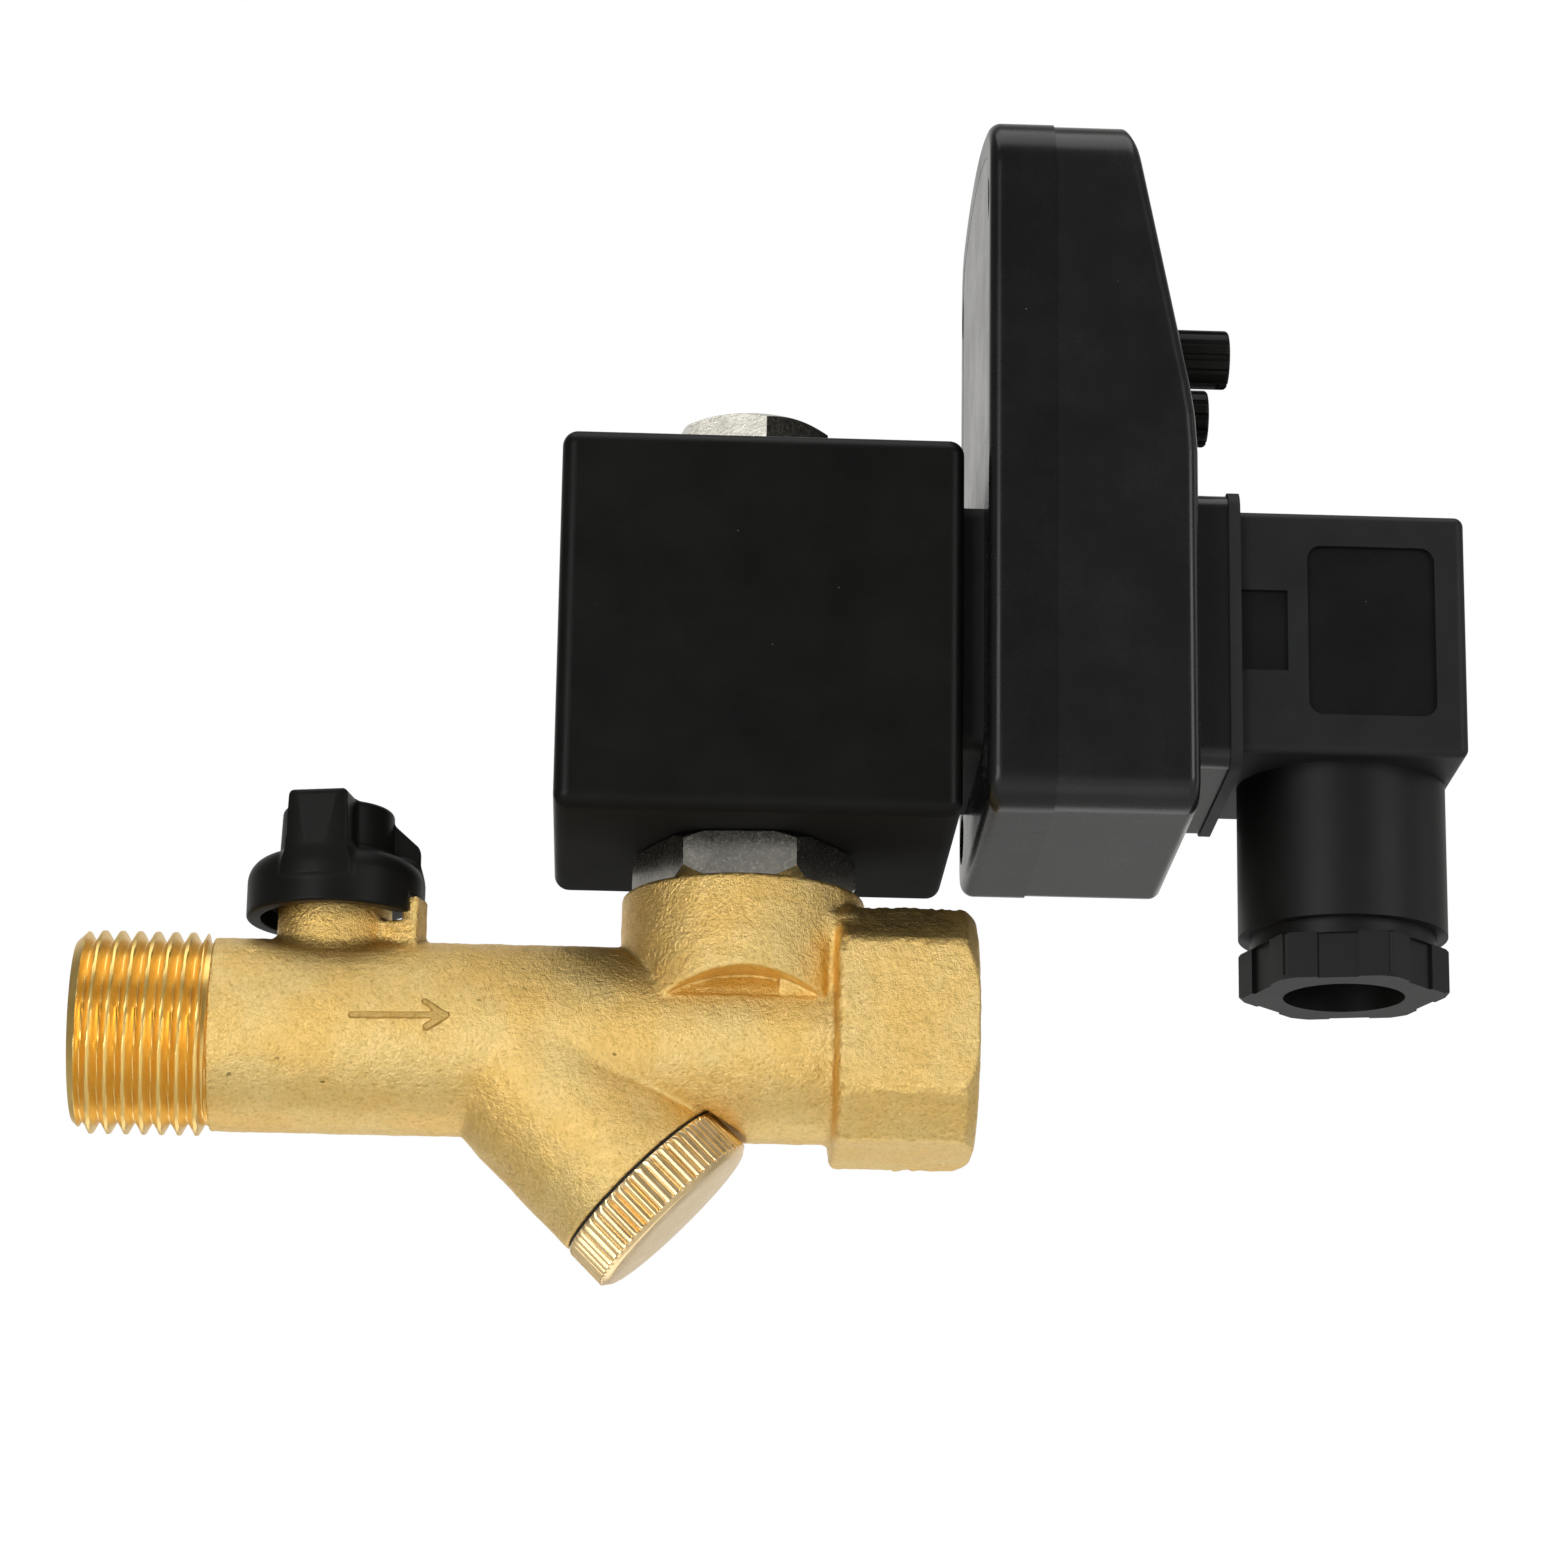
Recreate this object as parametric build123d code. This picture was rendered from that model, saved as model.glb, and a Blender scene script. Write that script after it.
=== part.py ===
from build123d import *
import math
import os

# Timed automatic drain valve: forged brass body with a G1/2 male inlet, a
# shut-off ball valve, a Y-strainer, a direct-acting solenoid valve and a G1/2
# female outlet.  The coil carries a plug-on timer and a plug-on cable connector.
#
# Frame (mm): origin at the centre of the inlet end face, +X along the flow,
# +Z up along the solenoid axis, +Y to the rear.

# ------------------------------------------------------------------ dimensions
# G1/2 thread (ISO 228)
PITCH = 1.814
R_MAJOR = 10.4775
R_MINOR = 9.3155
LAND = 0.34            # width of a crest land
# inlet tube
TUBE_R = 9.97
IN_CREST0 = 2.34       # first full crest
IN_CRESTS = 7
SHOULDER_X = 14.06
# ball valve
HX = 26.1              # stem axis
BALL_R = 7.0
BALL_BORE_R = 4.0
CAGE_R = 7.7           # bore that holds the ball, seats and retainer
SEAT_R = 7.64
SEAT_IN = 4.2
SEAT_SHOULDER_X = 34.02
RET_X0, RET_X1 = 9.5, 18.18
STEM_R = 3.0
STEM_BORE_R = 3.05
COLLAR_R = 5.9
COLLAR_TOP = 13.8
# handle
H_DISC_R = 9.2
H_SKIRT_Z = 12.3
H_DISC_Z0 = 14.4
H_DISC_Z1 = 18.6
H_HUB_R = 6.0
H_TOP = 24.3
H_WING_W = 6.6
H_WING_TILT = 12.0     # wings lie this far from square to the pipe
LUG_ANGLE = -21.0      # stop lug, from +X towards the front
LUG_HALF = 10.0
# Y-strainer branch, 45 degrees down towards the outlet
BX = 44.0              # branch axis meets the tube axis here
BR_R = 10.1
BR_FACE = 20.25
CHAMBER_R = 6.8
CAP_BORE_R = 8.3
CAP_R = 10.25
CAP_S0, CAP_S1 = 20.75, 25.75
CAP_SPIGOT_R = 8.22
# solenoid boss
SX = 68.5
BOSS_R = 12.64
BOSS_TOP = 15.4
BOSS_CONE_Z0, BOSS_CONE_Z1 = 3.0, 5.6
SEAT_Z = 6.0           # top of the main seat
ORIFICE_R = 2.0
TUBE_THREAD_R = 9.2
# outlet
OX0, OX1 = 78.1, 92.5
OZ = 1.05              # outlet axis above the inlet axis
O_HALF = 12.22
O_FLAT = 7.8
# armature tube
AT_HEX_AF = 20.2
AT_HEX_TURN = -4.0
AT_HEX_Z1 = 20.4
AT_R = 6.5
AT_IN = 5.5
CORE_Z0 = 40.0
CORE_Z1 = 58.5
STUD_R = 3.9
PLUNGER_R = 5.42
PLUNGER_Z0, PLUNGER_Z1 = 6.7, 36.9
# coil
CX0, CX1 = 48.55, 90.2
CY = 17.9
CZ0, CZ1 = 20.6, 61.1
# top nut
NUT_R = 8.66
NUT_Z0, NUT_Z1 = 62.1, 67.0
# timer
TX0, TX_SEAM, TX1 = 92.5, 99.4, 114.35
TY = 20.7
TZ0, TZ1 = 21.15, 99.3
T_STEP = 0.2           # the front half stands this far inside the rear half
T_SLOPE_X = 108.5      # sloping face ends here, at T_SLOPE_Z
T_SLOPE_Z = 92.9
T_ARCH_R = 60.0
T_TOP_R = 6.3
T_BOT_R = 3.9
PLATE_INSET = 3.6
PLATE_Z0 = 62.6
KNOB_Z = 73.8
KNOB_Y = 9.0
KNOB_R = 3.12
KNOB_TIP = 118.65
# DIN connection
DIN_Z = 42.4
DIN_COIL_Z = 42.4
PED_X1 = 117.9
GSK_X1 = 119.1
# connector
KX0, KX1 = 119.1, 142.75
KY = 13.5
KZ0, KZ1 = 29.3, 55.5
GX = 131.35            # cable gland axis
G_R = 10.95
G_Z0 = 13.0
GN_Z0, GN_Z1 = 6.7, 11.5
GN_R = 11.05
GN_HOLE = 6.35
GN_TURN = -12.0

D = (1 / math.sqrt(2), 0, -1 / math.sqrt(2))   # branch direction


# --------------------------------------------------------------------- helpers
def cx(r, x0, x1, y=0.0, z=0.0):
    return Pos((x0 + x1) / 2, y, z) * Rot(0, 90, 0) * Cylinder(r, x1 - x0)


def cz(r, z0, z1, x=0.0, y=0.0):
    return Pos(x, y, (z0 + z1) / 2) * Cylinder(r, z1 - z0)


def cs(r, s0, s1):
    pl = Plane(origin=(BX, 0, 0), z_dir=D, x_dir=(0, 1, 0))
    return pl * Pos(0, 0, (s0 + s1) / 2) * Cylinder(r, s1 - s0)


def bb(x0, x1, y0, y1, z0, z1):
    return Pos((x0 + x1) / 2, (y0 + y1) / 2, (z0 + z1) / 2) * Box(x1 - x0, y1 - y0, z1 - z0)


def rev_x(pts, z=0.0):
    # turns (x, r) points about the X axis; the profile closes on the axis
    pts = [(pts[0][0], 0)] + list(pts) + [(pts[-1][0], 0)]
    face = make_face(Polyline(*[(p[0], 0, p[1]) for p in pts], close=True))
    return Pos(0, 0, z) * revolve(face, Axis.X, 360)


def rev_z(pts, x=0.0, y=0.0, axis_closed=True):
    # turns (r, z) points about a vertical axis at (x, y)
    pts = list(pts)
    if axis_closed:
        pts = [(0, pts[0][1])] + pts + [(0, pts[-1][1])]
    face = make_face(Polyline(*[(p[0], 0, p[1]) for p in pts], close=True))
    return Pos(x, y, 0) * revolve(face, Axis.Z, 360)


def hexagon_z(af, z0, z1, x, y=0.0, turn=0.0):
    sk = Rot(0, 0, turn) * RegularPolygon(af / math.sqrt(3), 6)
    return Pos(x, y, z0) * extrude(sk, z1 - z0)


def group(shapes):
    return Compound(children=[s for shape in shapes for s in shape.solids()])


PARTS = {}


def keep(name, shape):
    PARTS[name] = shape


# ----------------------------------------------------------------- valve body
def thread_profile(x0, x1, first, count, r_start):
    pts = [(x0, r_start), (x0 + 0.75, r_start + 0.7), (first - PITCH / 2, R_MINOR)]
    for i in range(count):
        c = first + PITCH * i
        pts += [(c - LAND / 2, R_MAJOR), (c + LAND / 2, R_MAJOR)]
        pts += [(c + PITCH / 2, R_MINOR)]
    pts[-1] = (x1 - 0.25, 9.55)
    pts += [(x1, TUBE_R), (x1 + 2, TUBE_R)]
    return pts


body = rev_x(thread_profile(0, SHOULDER_X, IN_CREST0, IN_CRESTS, 9.35))
body += cx(TUBE_R, SHOULDER_X + 1.5, 80.0)
# branch
body += cs(BR_R, 0, BR_FACE)
# room for the cap where it stands under the tube
body -= cs(CAP_R + 0.55, BR_FACE, 34.0)
# boss with its sloping underside
body += rev_z([(9.6, BOSS_CONE_Z0), (BOSS_R, BOSS_CONE_Z1), (BOSS_R, BOSS_TOP - 0.4), (BOSS_R - 0.4, BOSS_TOP)], SX)
# neck between boss and outlet
body += bb(76.5, OX0 + 1, -9.3, 9.3, 0, 12.4)
# outlet octagon
octo = Polyline(*[(OX0, y, z + OZ) for y, z in [
    (O_FLAT, O_HALF), (O_HALF, O_FLAT), (O_HALF, -O_FLAT), (O_FLAT, -O_HALF),
    (-O_FLAT, -O_HALF), (-O_HALF, -O_FLAT), (-O_HALF, O_FLAT), (-O_FLAT, O_HALF)]], close=True)
prism = extrude(make_face(octo), OX1 - OX0, dir=(1, 0, 0))
prism = fillet(prism.edges().filter_by(Axis.X), 0.9)
prism = prism & rev_x([(OX0 - 1, 14.6), (OX0 + 1.2, 15.6), (OX1 - 2.4, 15.6), (OX1, 12.5)], OZ)
body += prism
# stem collar and stop lug
body += cz(COLLAR_R, 0, COLLAR_TOP, HX)
lug = bb(5.0, 9.85, -1.55, 1.55, 8.2, 11.7) + bb(8.1, 9.85, -1.45, 1.45, 8.2, 14.05)
body += Pos(HX, 0, 0) * Rot(0, 0, LUG_ANGLE) * lug
# flow arrow, raised on the front of the tube
arrow = bb(28.6, 37.2, -10.25, -9.0, 0.15, 0.75)
head = Polyline((36.4, -10.25, -1.25), (39.1, -10.25, 0.45), (36.4, -10.25, 2.15), (37.0, -10.25, 0.45), close=True)
arrow += extrude(make_face(head), 1.3, dir=(0, 1, 0))
body += arrow

# passages
body -= cx(CAGE_R, -1, SEAT_SHOULDER_X)
body -= cx(3.0, SEAT_SHOULDER_X - 1, 44.5, 0, 1.4)
body -= cs(CHAMBER_R, -3.0, BR_FACE + 1)
body -= cs(CAP_BORE_R, 14.2, BR_FACE + 1)
body -= cx(2.3, 46.4, SX, 0, 6.3)
body -= cz(8.0, 4.0, 9.0, SX)
body += cz(3.4, 3.5, SEAT_Z, SX)
body -= cz(TUBE_THREAD_R, 8.95, BOSS_TOP + 1, SX)
body -= cz(10.7, 13.9, BOSS_TOP + 1, SX)
body -= cz(ORIFICE_R, -1.0, SEAT_Z + 1, SX)
body -= cx(3.5, SX - 2.6, 81.5, 0, -1.0)
# female outlet thread
out_pts = [(80.2, 4.6), (81.2, 8.9)]
mouth = OX1 - 1.35
n_out = 5
grooves = [mouth - PITCH * (n_out - 1 - i) - PITCH / 2 for i in range(n_out)]
out_pts += [(grooves[0] - PITCH / 2 - 0.3, R_MINOR)]
for c in grooves:
    out_pts += [(c - PITCH / 2 + LAND / 2, R_MINOR), (c, R_MAJOR), (c + PITCH / 2 - LAND / 2, R_MINOR)]
out_pts += [(OX1 - 1.0, R_MINOR), (OX1 + 0.2, R_MAJOR + 0.25), (OX1 + 1, R_MAJOR + 0.25)]
body -= rev_x(out_pts, OZ)
# stem bore with the pocket for its shoulder
body -= cz(STEM_BORE_R, 0, COLLAR_TOP + 1, HX)
body -= cz(3.5, 0, 8.6, HX)
keep("valve_body", body)

# ------------------------------------------------------------------ ball valve
ret = cx(CAGE_R - 0.06, RET_X0, RET_X1) - cx(SEAT_IN, RET_X0 - 1, RET_X1 + 1)
ret -= bb(RET_X0 - 1, RET_X0 + 1.6, -9, 9, -0.9, 0.9)
ret = chamfer(ret.edges().filter_by(GeomType.CIRCLE).sort_by(Axis.X)[-1], 0.3)
keep("seat_retainer", ret)


def seat(side):
    # ring with a conical face that stands just clear of the ball
    pts = [(7.9, SEAT_IN), (7.9, SEAT_R), (3.65, SEAT_R), (3.65, 6.2), (5.8, SEAT_IN)]
    face = make_face(Polyline(*[(HX + side * p[0], 0, p[1]) for p in pts], close=True))
    return revolve(face, Axis.X, 360)


keep("ball_seats", group([seat(-1), seat(1)]))

ball = Pos(HX, 0, 0) * Sphere(BALL_R)
ball -= cx(BALL_BORE_R, HX - 8, HX + 8)
ball -= bb(HX - 1.3, HX + 1.3, -8, 8, 4.75, 8)
keep("ball", ball)

stem = cz(STEM_R, 8.4, 14.1, HX) + cz(3.4, 7.15, 8.5, HX)
stem += Pos(HX, 0, 15.9) * Box(4.2, 4.2, 3.8)
stem += bb(HX - 1.22, HX + 1.22, -3.3, 3.3, 4.85, 7.4)
for zg in (10.2, 12.4):
    stem -= cz(4, zg - 0.55, zg + 0.55, HX) - cz(2.0, zg - 1, zg + 1, HX)
stem -= cz(1.25, 11.2, 19, HX)
keep("ball_stem", stem)
keep("stem_o_rings", group([Pos(HX, 0, z) * Torus(2.5, 0.48) for z in (10.2, 12.4)]))

# ---------------------------------------------------------------------- handle
disc = cz(H_DISC_R, H_SKIRT_Z, H_DISC_Z1, HX)
disc = fillet(disc.edges().sort_by(Axis.Z)[-1], 2.6)
hub = cz(H_HUB_R, H_DISC_Z1 - 1, H_TOP, HX)
wing = Pos(HX, 0, 0) * Rot(0, 0, -H_WING_TILT) * (bb(-H_WING_W / 2, H_WING_W / 2, -9.1, 9.1, H_DISC_Z1 - 3.6, H_TOP))
fin = Polyline((HX, -0.9, 17.0), (HX + 8.6, -0.9, 17.0), (HX + 8.6, -0.9, 20.2), (HX + 5.8, -0.9, 22.7), (HX, -0.9, 22.7), close=True)
fin = extrude(make_face(fin), 1.8, dir=(0, 1, 0))
grip = hub + wing + fin
handle = disc + (grip & cz(9.15, H_DISC_Z0, H_TOP + 1, HX))
handle -= cz(7.75, H_SKIRT_Z - 1, H_DISC_Z0, HX)
# the skirt is cut away over the arc that the stop lug travels
a0, a1 = LUG_ANGLE - LUG_HALF - 0.6, LUG_ANGLE + LUG_HALF + 90.6
sector = [(0, 0)] + [(14 * math.cos(math.radians(a0 + (a1 - a0) * i / 8)), 14 * math.sin(math.radians(a0 + (a1 - a0) * i / 8))) for i in range(9)]
sector = extrude(make_face(Polyline(*[(HX + p[0], p[1], H_SKIRT_Z - 1) for p in sector], close=True)), H_DISC_Z0 - H_SKIRT_Z + 1)
handle -= sector - cz(6.0, 0, 20, HX)
handle -= Pos(HX, 0, 15.4) * Box(4.3, 4.3, 5.0)
handle -= cz(1.7, 15, H_TOP + 1, HX)
handle -= cz(3.2, 19.6, H_TOP + 1, HX)
keep("valve_handle", handle)

screw = cz(2.75, 19.6, 21.7, HX) + cz(1.22, 11.6, 19.7, HX)
screw = fillet(screw.edges().sort_by(Axis.Z)[-1], 0.7)
screw -= bb(HX - 0.35, HX + 0.35, -1.9, 1.9, 20.5, 22) + bb(HX - 1.9, HX + 1.9, -0.35, 0.35, 20.5, 22)
keep("handle_screw", screw)

# -------------------------------------------------------------------- strainer
screen = cs(5.6, -2.7, 17.9) - cs(5.2, -4, 19)
pl = Plane(origin=(BX, 0, 0), z_dir=D, x_dir=(0, 1, 0))
for k in range(6):
    holes = []
    for j in range(4):
        holes.append(pl * Pos(0, 0, 0.6 + 2.5 * k) * Rot(0, 0, 45 * j + 22.5 * (k % 2)) * Rot(90, 0, 0) * Cylinder(0.8, 14))
    for h in holes:
        screen -= h
keep("strainer_screen", screen)

cap = cs(CAP_R - 0.28, CAP_S0, CAP_S1)
cap = chamfer(cap.edges().filter_by(GeomType.CIRCLE), 0.45)
# straight knurl: ridges along the rim
ridges = []
N_RIDGE = 48
for k in range(N_RIDGE):
    a = 2 * math.pi * k / N_RIDGE
    rr = CAP_R - 0.28
    face = make_face(Polyline(
        ((rr - 0.35) * math.cos(a - 0.055), (rr - 0.35) * math.sin(a - 0.055), 0),
        ((rr + 0.28) * math.cos(a - 0.012), (rr + 0.28) * math.sin(a - 0.012), 0),
        ((rr + 0.28) * math.cos(a + 0.012), (rr + 0.28) * math.sin(a + 0.012), 0),
        ((rr - 0.35) * math.cos(a + 0.055), (rr - 0.35) * math.sin(a + 0.055), 0), close=True))
    ridges.append(pl * Pos(0, 0, CAP_S0 + 0.35) * extrude(face, CAP_S1 - CAP_S0 - 0.7))
cap = cap.fuse(*ridges)
cap += cs(CAP_SPIGOT_R, 15.0, CAP_S0 + 0.2)
for k in range(3):
    cap -= cs(9, 15.9 + 1.5 * k, 16.6 + 1.5 * k) - cs(7.75, 15, 22)
cap -= cs(5.68, 14, 18.0)
cap -= cs(4.6, 14, 21.5)
keep("strainer_cap", cap)
keep("strainer_cap_seal", cs(9.85, BR_FACE, CAP_S0) - cs(8.32, BR_FACE - 1, CAP_S0 + 1))

# -------------------------------------------------------------- armature tube
at = hexagon_z(AT_HEX_AF, BOSS_TOP, AT_HEX_Z1, SX, 0, AT_HEX_TURN)
at = at & rev_z([(10.4, BOSS_TOP), (11.9, BOSS_TOP + 1.75), (11.9, AT_HEX_Z1 - 0.9), (10.7, AT_HEX_Z1)], SX)
at += cz(TUBE_THREAD_R - 0.06, 9.2, BOSS_TOP + 0.1, SX)
at += cz(AT_R, AT_HEX_Z1 - 0.1, CORE_Z1, SX)
at -= cz(AT_IN, 0, CORE_Z1 + 1, SX)
keep("armature_tube", at)
keep("tube_o_ring", Pos(SX, 0, 14.65) * Torus(9.95, 0.7))
core = cz(AT_IN - 0.03, CORE_Z0, CORE_Z1, SX) + cz(AT_R, CORE_Z1, CZ1 - 0.6, SX) + cz(STUD_R, CZ1 - 0.7, 68.2, SX)
core = chamfer(core.edges().sort_by(Axis.Z)[-1], 0.7)
core -= cz(4.3, CORE_Z0 - 1, CORE_Z0 + 1.6, SX) - cz(3.3, 0, 60, SX)
keep("fixed_core", core)
keep("shading_ring", cz(4.25, CORE_Z0 + 0.02, CORE_Z0 + 1.55, SX) - cz(3.35, CORE_Z0 - 1, CORE_Z0 + 3, SX))

plunger = cz(PLUNGER_R, PLUNGER_Z0, PLUNGER_Z1, SX)
plunger = chamfer(plunger.edges().sort_by(Axis.Z)[-1], 0.4)
plunger -= cz(3.72, PLUNGER_Z0 - 1, 9.0, SX)
plunger -= cz(2.9, 25.0, PLUNGER_Z1 + 1, SX)
keep("plunger", plunger)
keep("plunger_seal", cz(3.7, SEAT_Z + 0.03, 8.98, SX))
coil_path = Helix(pitch=1.66, height=14.0, radius=2.25)
spring = sweep(Plane(origin=coil_path @ 0, z_dir=coil_path % 0) * Circle(0.3), path=coil_path)
keep("plunger_spring", Pos(SX, 0, 25.5) * spring)

# ------------------------------------------------------------------------ coil
shell = bb(CX0, CX1, -CY, CY, CZ0, CZ1)
shell = fillet(shell.edges(), 1.6)
shell -= cz(6.72, CZ0 - 1, CZ1 + 1, SX)
shell -= bb(SX - 17.6, SX + 17.6, -11.1, 11.1, 22.4, 59.3)
shell -= cz(15.1, 24.4, 57.3, SX)
# brass inserts and blades leave the connector side
blades = [(-9.0, DIN_COIL_Z, 0.8, 6.3), (9.0, DIN_COIL_Z, 0.8, 6.3), (0.0, DIN_COIL_Z - 9.0, 6.3, 0.8)]
for y, z, w, h in blades:
    shell -= bb(87.2, CX1 + 1, y - w / 2 - 0.02, y + w / 2 + 0.02, z - h / 2 - 0.02, z + h / 2 + 0.02)
shell -= cx(1.55, 87.0, CX1 + 1, 0, DIN_COIL_Z)
keep("coil_housing", shell)

yoke = bb(SX - 17.5, SX + 17.5, -11, 11, 22.5, 59.2) - bb(SX - 15.4, SX + 15.4, -12, 12, 24.4, 57.3)
yoke -= cz(6.75, 20, 62, SX)
keep("coil_yoke", yoke)
bob = cz(15.0, 24.5, 26.0, SX) + cz(15.0, 55.7, 57.2, SX) + cz(8.0, 24.5, 57.2, SX)
bob -= cz(6.75, 20, 62, SX)
keep("coil_bobbin", bob)
keep("coil_winding", cz(14.2, 26.02, 55.68, SX) - cz(8.02, 20, 60, SX))
keep("coil_terminals", group([bb(87.3, 98.4, y - w / 2, y + w / 2, z - h / 2, z + h / 2) for y, z, w, h in blades]))

keep("nut_washer", cz(8.3, CZ1 + 0.02, NUT_Z0, SX) - cz(4.3, 50, 70, SX))
nut = hexagon_z(NUT_R * math.sqrt(3), NUT_Z0, NUT_Z1, SX, 0, -90 + 9)
nut = nut & rev_z([(7.9, NUT_Z0), (8.8, NUT_Z0 + 0.5), (8.8, NUT_Z1 - 0.8), (7.4, NUT_Z1)], SX)
nut -= cz(STUD_R + 0.05, 50, 70, SX)
keep("coil_nut", nut)

gas = bb(CX1, TX0, -13.9, 13.9, 28.9, 55.3)
gas = fillet(gas.edges().filter_by(Axis.X), 2.0)
for y, z, w, h in blades:
    gas -= bb(CX1 - 1, TX0 + 1, y - w / 2 - 0.1, y + w / 2 + 0.1, z - h / 2 - 0.1, z + h / 2 + 0.1)
gas -= cx(1.75, CX1 - 1, TX0 + 1, 0, DIN_COIL_Z)
keep("coil_gasket", gas)


# ----------------------------------------------------------------------- timer
def outline(inset):
    # rounded case outline: flat foot, straight sides, low arch on top
    hw = TY - inset
    rb = T_BOT_R - min(inset, 2.0)
    rt = T_TOP_R - min(inset, 3.0)
    ra = T_ARCH_R - inset
    zc = TZ1 - T_ARCH_R
    z0 = TZ0 + inset
    yk = hw - rt
    zk = zc + math.sqrt((ra - rt) ** 2 - yk ** 2)
    ty, tz = yk * ra / (ra - rt), zc + (zk - zc) * ra / (ra - rt)
    phi = math.atan2(zk - zc, yk) / 2
    my, mz = yk + rt * math.cos(phi), zk + rt * math.sin(phi)
    q = rb * (1 - math.sqrt(0.5))
    edges = [
        Line((-hw, zk), (-hw, z0 + rb)),
        ThreePointArc((-hw, z0 + rb), (-hw + q, z0 + q), (-hw + rb, z0)),
        Line((-hw + rb, z0), (hw - rb, z0)),
        ThreePointArc((hw - rb, z0), (hw - q, z0 + q), (hw, z0 + rb)),
        Line((hw, z0 + rb), (hw, zk)),
        ThreePointArc((hw, zk), (my, mz), (ty, tz)),
        ThreePointArc((ty, tz), (0, zc + ra), (-ty, tz)),
        ThreePointArc((-ty, tz), (-my, mz), (-hw, zk)),
    ]
    return Plane.YZ * make_face(edges)


def timer_block(x0, x1, inset):
    return Pos(x0, 0, 0) * extrude(outline(inset), x1 - x0)


def timer_front(inset):
    blk = timer_block(TX_SEAM, TX1 + 2, inset)
    prof = make_face(Polyline(*[(p[0], -30, p[1]) for p in front_profile(inset)], close=True))
    return blk & extrude(prof, 60, dir=(0, 1, 0))


def front_profile(inset):
    i = inset
    return [(TX_SEAM, 10), (TX1 - i, 10), (TX1 - i, 59.6), (TX1 - 0.25 - i, 63.6), (TX1 - 0.75 - i, 67.0),
            (T_SLOPE_X - i * 1.02, T_SLOPE_Z), (107.0 - i * 1.1, 96.5), (104.1 - i * 1.2, 98.7 - i * 0.3), (TX_SEAM, 99.25 - i * 0.3)]


rear = timer_block(TX0, TX_SEAM, 0)
rear = fillet(rear.faces().sort_by(Axis.X)[0].edges(), 1.4)
rear -= timer_block(TX0 + 1.9, TX_SEAM + 1, 1.9)
# bosses for the case screws
posts = [(y, z) for y in (-16.1, 16.1) for z in (27.2, 88.0)]
for y, z in posts:
    rear += cx(3.0, TX0 + 1.5, TX_SEAM, y, z)
rear += cx(3.2, TX0 + 1.5, TX_SEAM, 0, DIN_COIL_Z)
for y, z in posts:
    rear -= cx(1.6, TX0 - 1, TX_SEAM + 1, y, z) + cx(2.75, TX0 - 1, TX0 + 2.2, y, z)
rear -= cx(1.75, TX0 - 1, TX_SEAM + 1, 0, DIN_COIL_Z)
for y, z, w, h in blades:
    rear -= bb(TX0 - 1, TX0 + 3, y - w / 2 - 0.15, y + w / 2 + 0.15, z - h / 2 - 0.15, z + h / 2 + 0.15)
# blank cover plate let into the back, over the two upper case screws
rear -= timer_block(TX0 - 1, TX0 + 0.34, PLATE_INSET - 0.05) & bb(TX0 - 2, TX0 + 2, -30, 30, PLATE_Z0 - 0.05, 130)
keep("timer_rear_housing", rear)
keep("rear_plate", timer_block(TX0 + 0.02, TX0 + 0.32, PLATE_INSET) & bb(TX0 - 2, TX0 + 2, -30, 30, PLATE_Z0, 130))

front = timer_front(T_STEP)
front = fillet(front.edges().filter_by(lambda e: e.center().X > 104 and abs(e.center().Y) > TY - T_STEP - 0.15), 1.3)
front -= timer_front(2.2) & bb(TX_SEAM - 1, 150, -40, 40, 0, 130)
for y, z in posts:
    front += cx(3.0, TX_SEAM, 106.0, y, z)
    front -= cx(1.15, TX_SEAM - 1, 105.0, y, z)
# pedestal for the cable connector
ped = bb(TX1 - 1.0, PED_X1, -14.6, 14.6, 27.6, 57.2)
ped = fillet(ped.edges().filter_by(Axis.X), 2.2)
front += ped
front += cx(3.4, TX_SEAM, TX1, 0, DIN_Z)
front -= cx(1.75, TX_SEAM - 1, 125, 0, DIN_Z)
blades2 = [(-9.0, DIN_Z, 0.8, 6.3), (9.0, DIN_Z, 0.8, 6.3), (0.0, DIN_Z - 9.0, 6.3, 0.8)]
for y, z, w, h in blades2:
    front -= bb(TX1 - 4, PED_X1 + 1, y - w / 2 - 0.03, y + w / 2 + 0.03, z - h / 2 - 0.03, z + h / 2 + 0.03)
for y in (-KNOB_Y, KNOB_Y):
    front -= cx(KNOB_R + 0.2, 104, 116, y, KNOB_Z)
# seats for the button and the two lamps on the sloping face
BTN_Z, LED_Z = 86.2, 86.6


def slope_x(z):
    # x of the sloping face at height z
    return TX1 - 0.75 - T_STEP + (z - 67.0) * (T_SLOPE_X - (TX1 - 0.75)) / (T_SLOPE_Z - 67.0)


front -= cx(2.6, 100.5, 116, 0, BTN_Z)
for y in (-10.5, 10.5):
    front -= cx(1.55, 100.5, 116, y, LED_Z)
keep("timer_front_housing", front)

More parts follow.
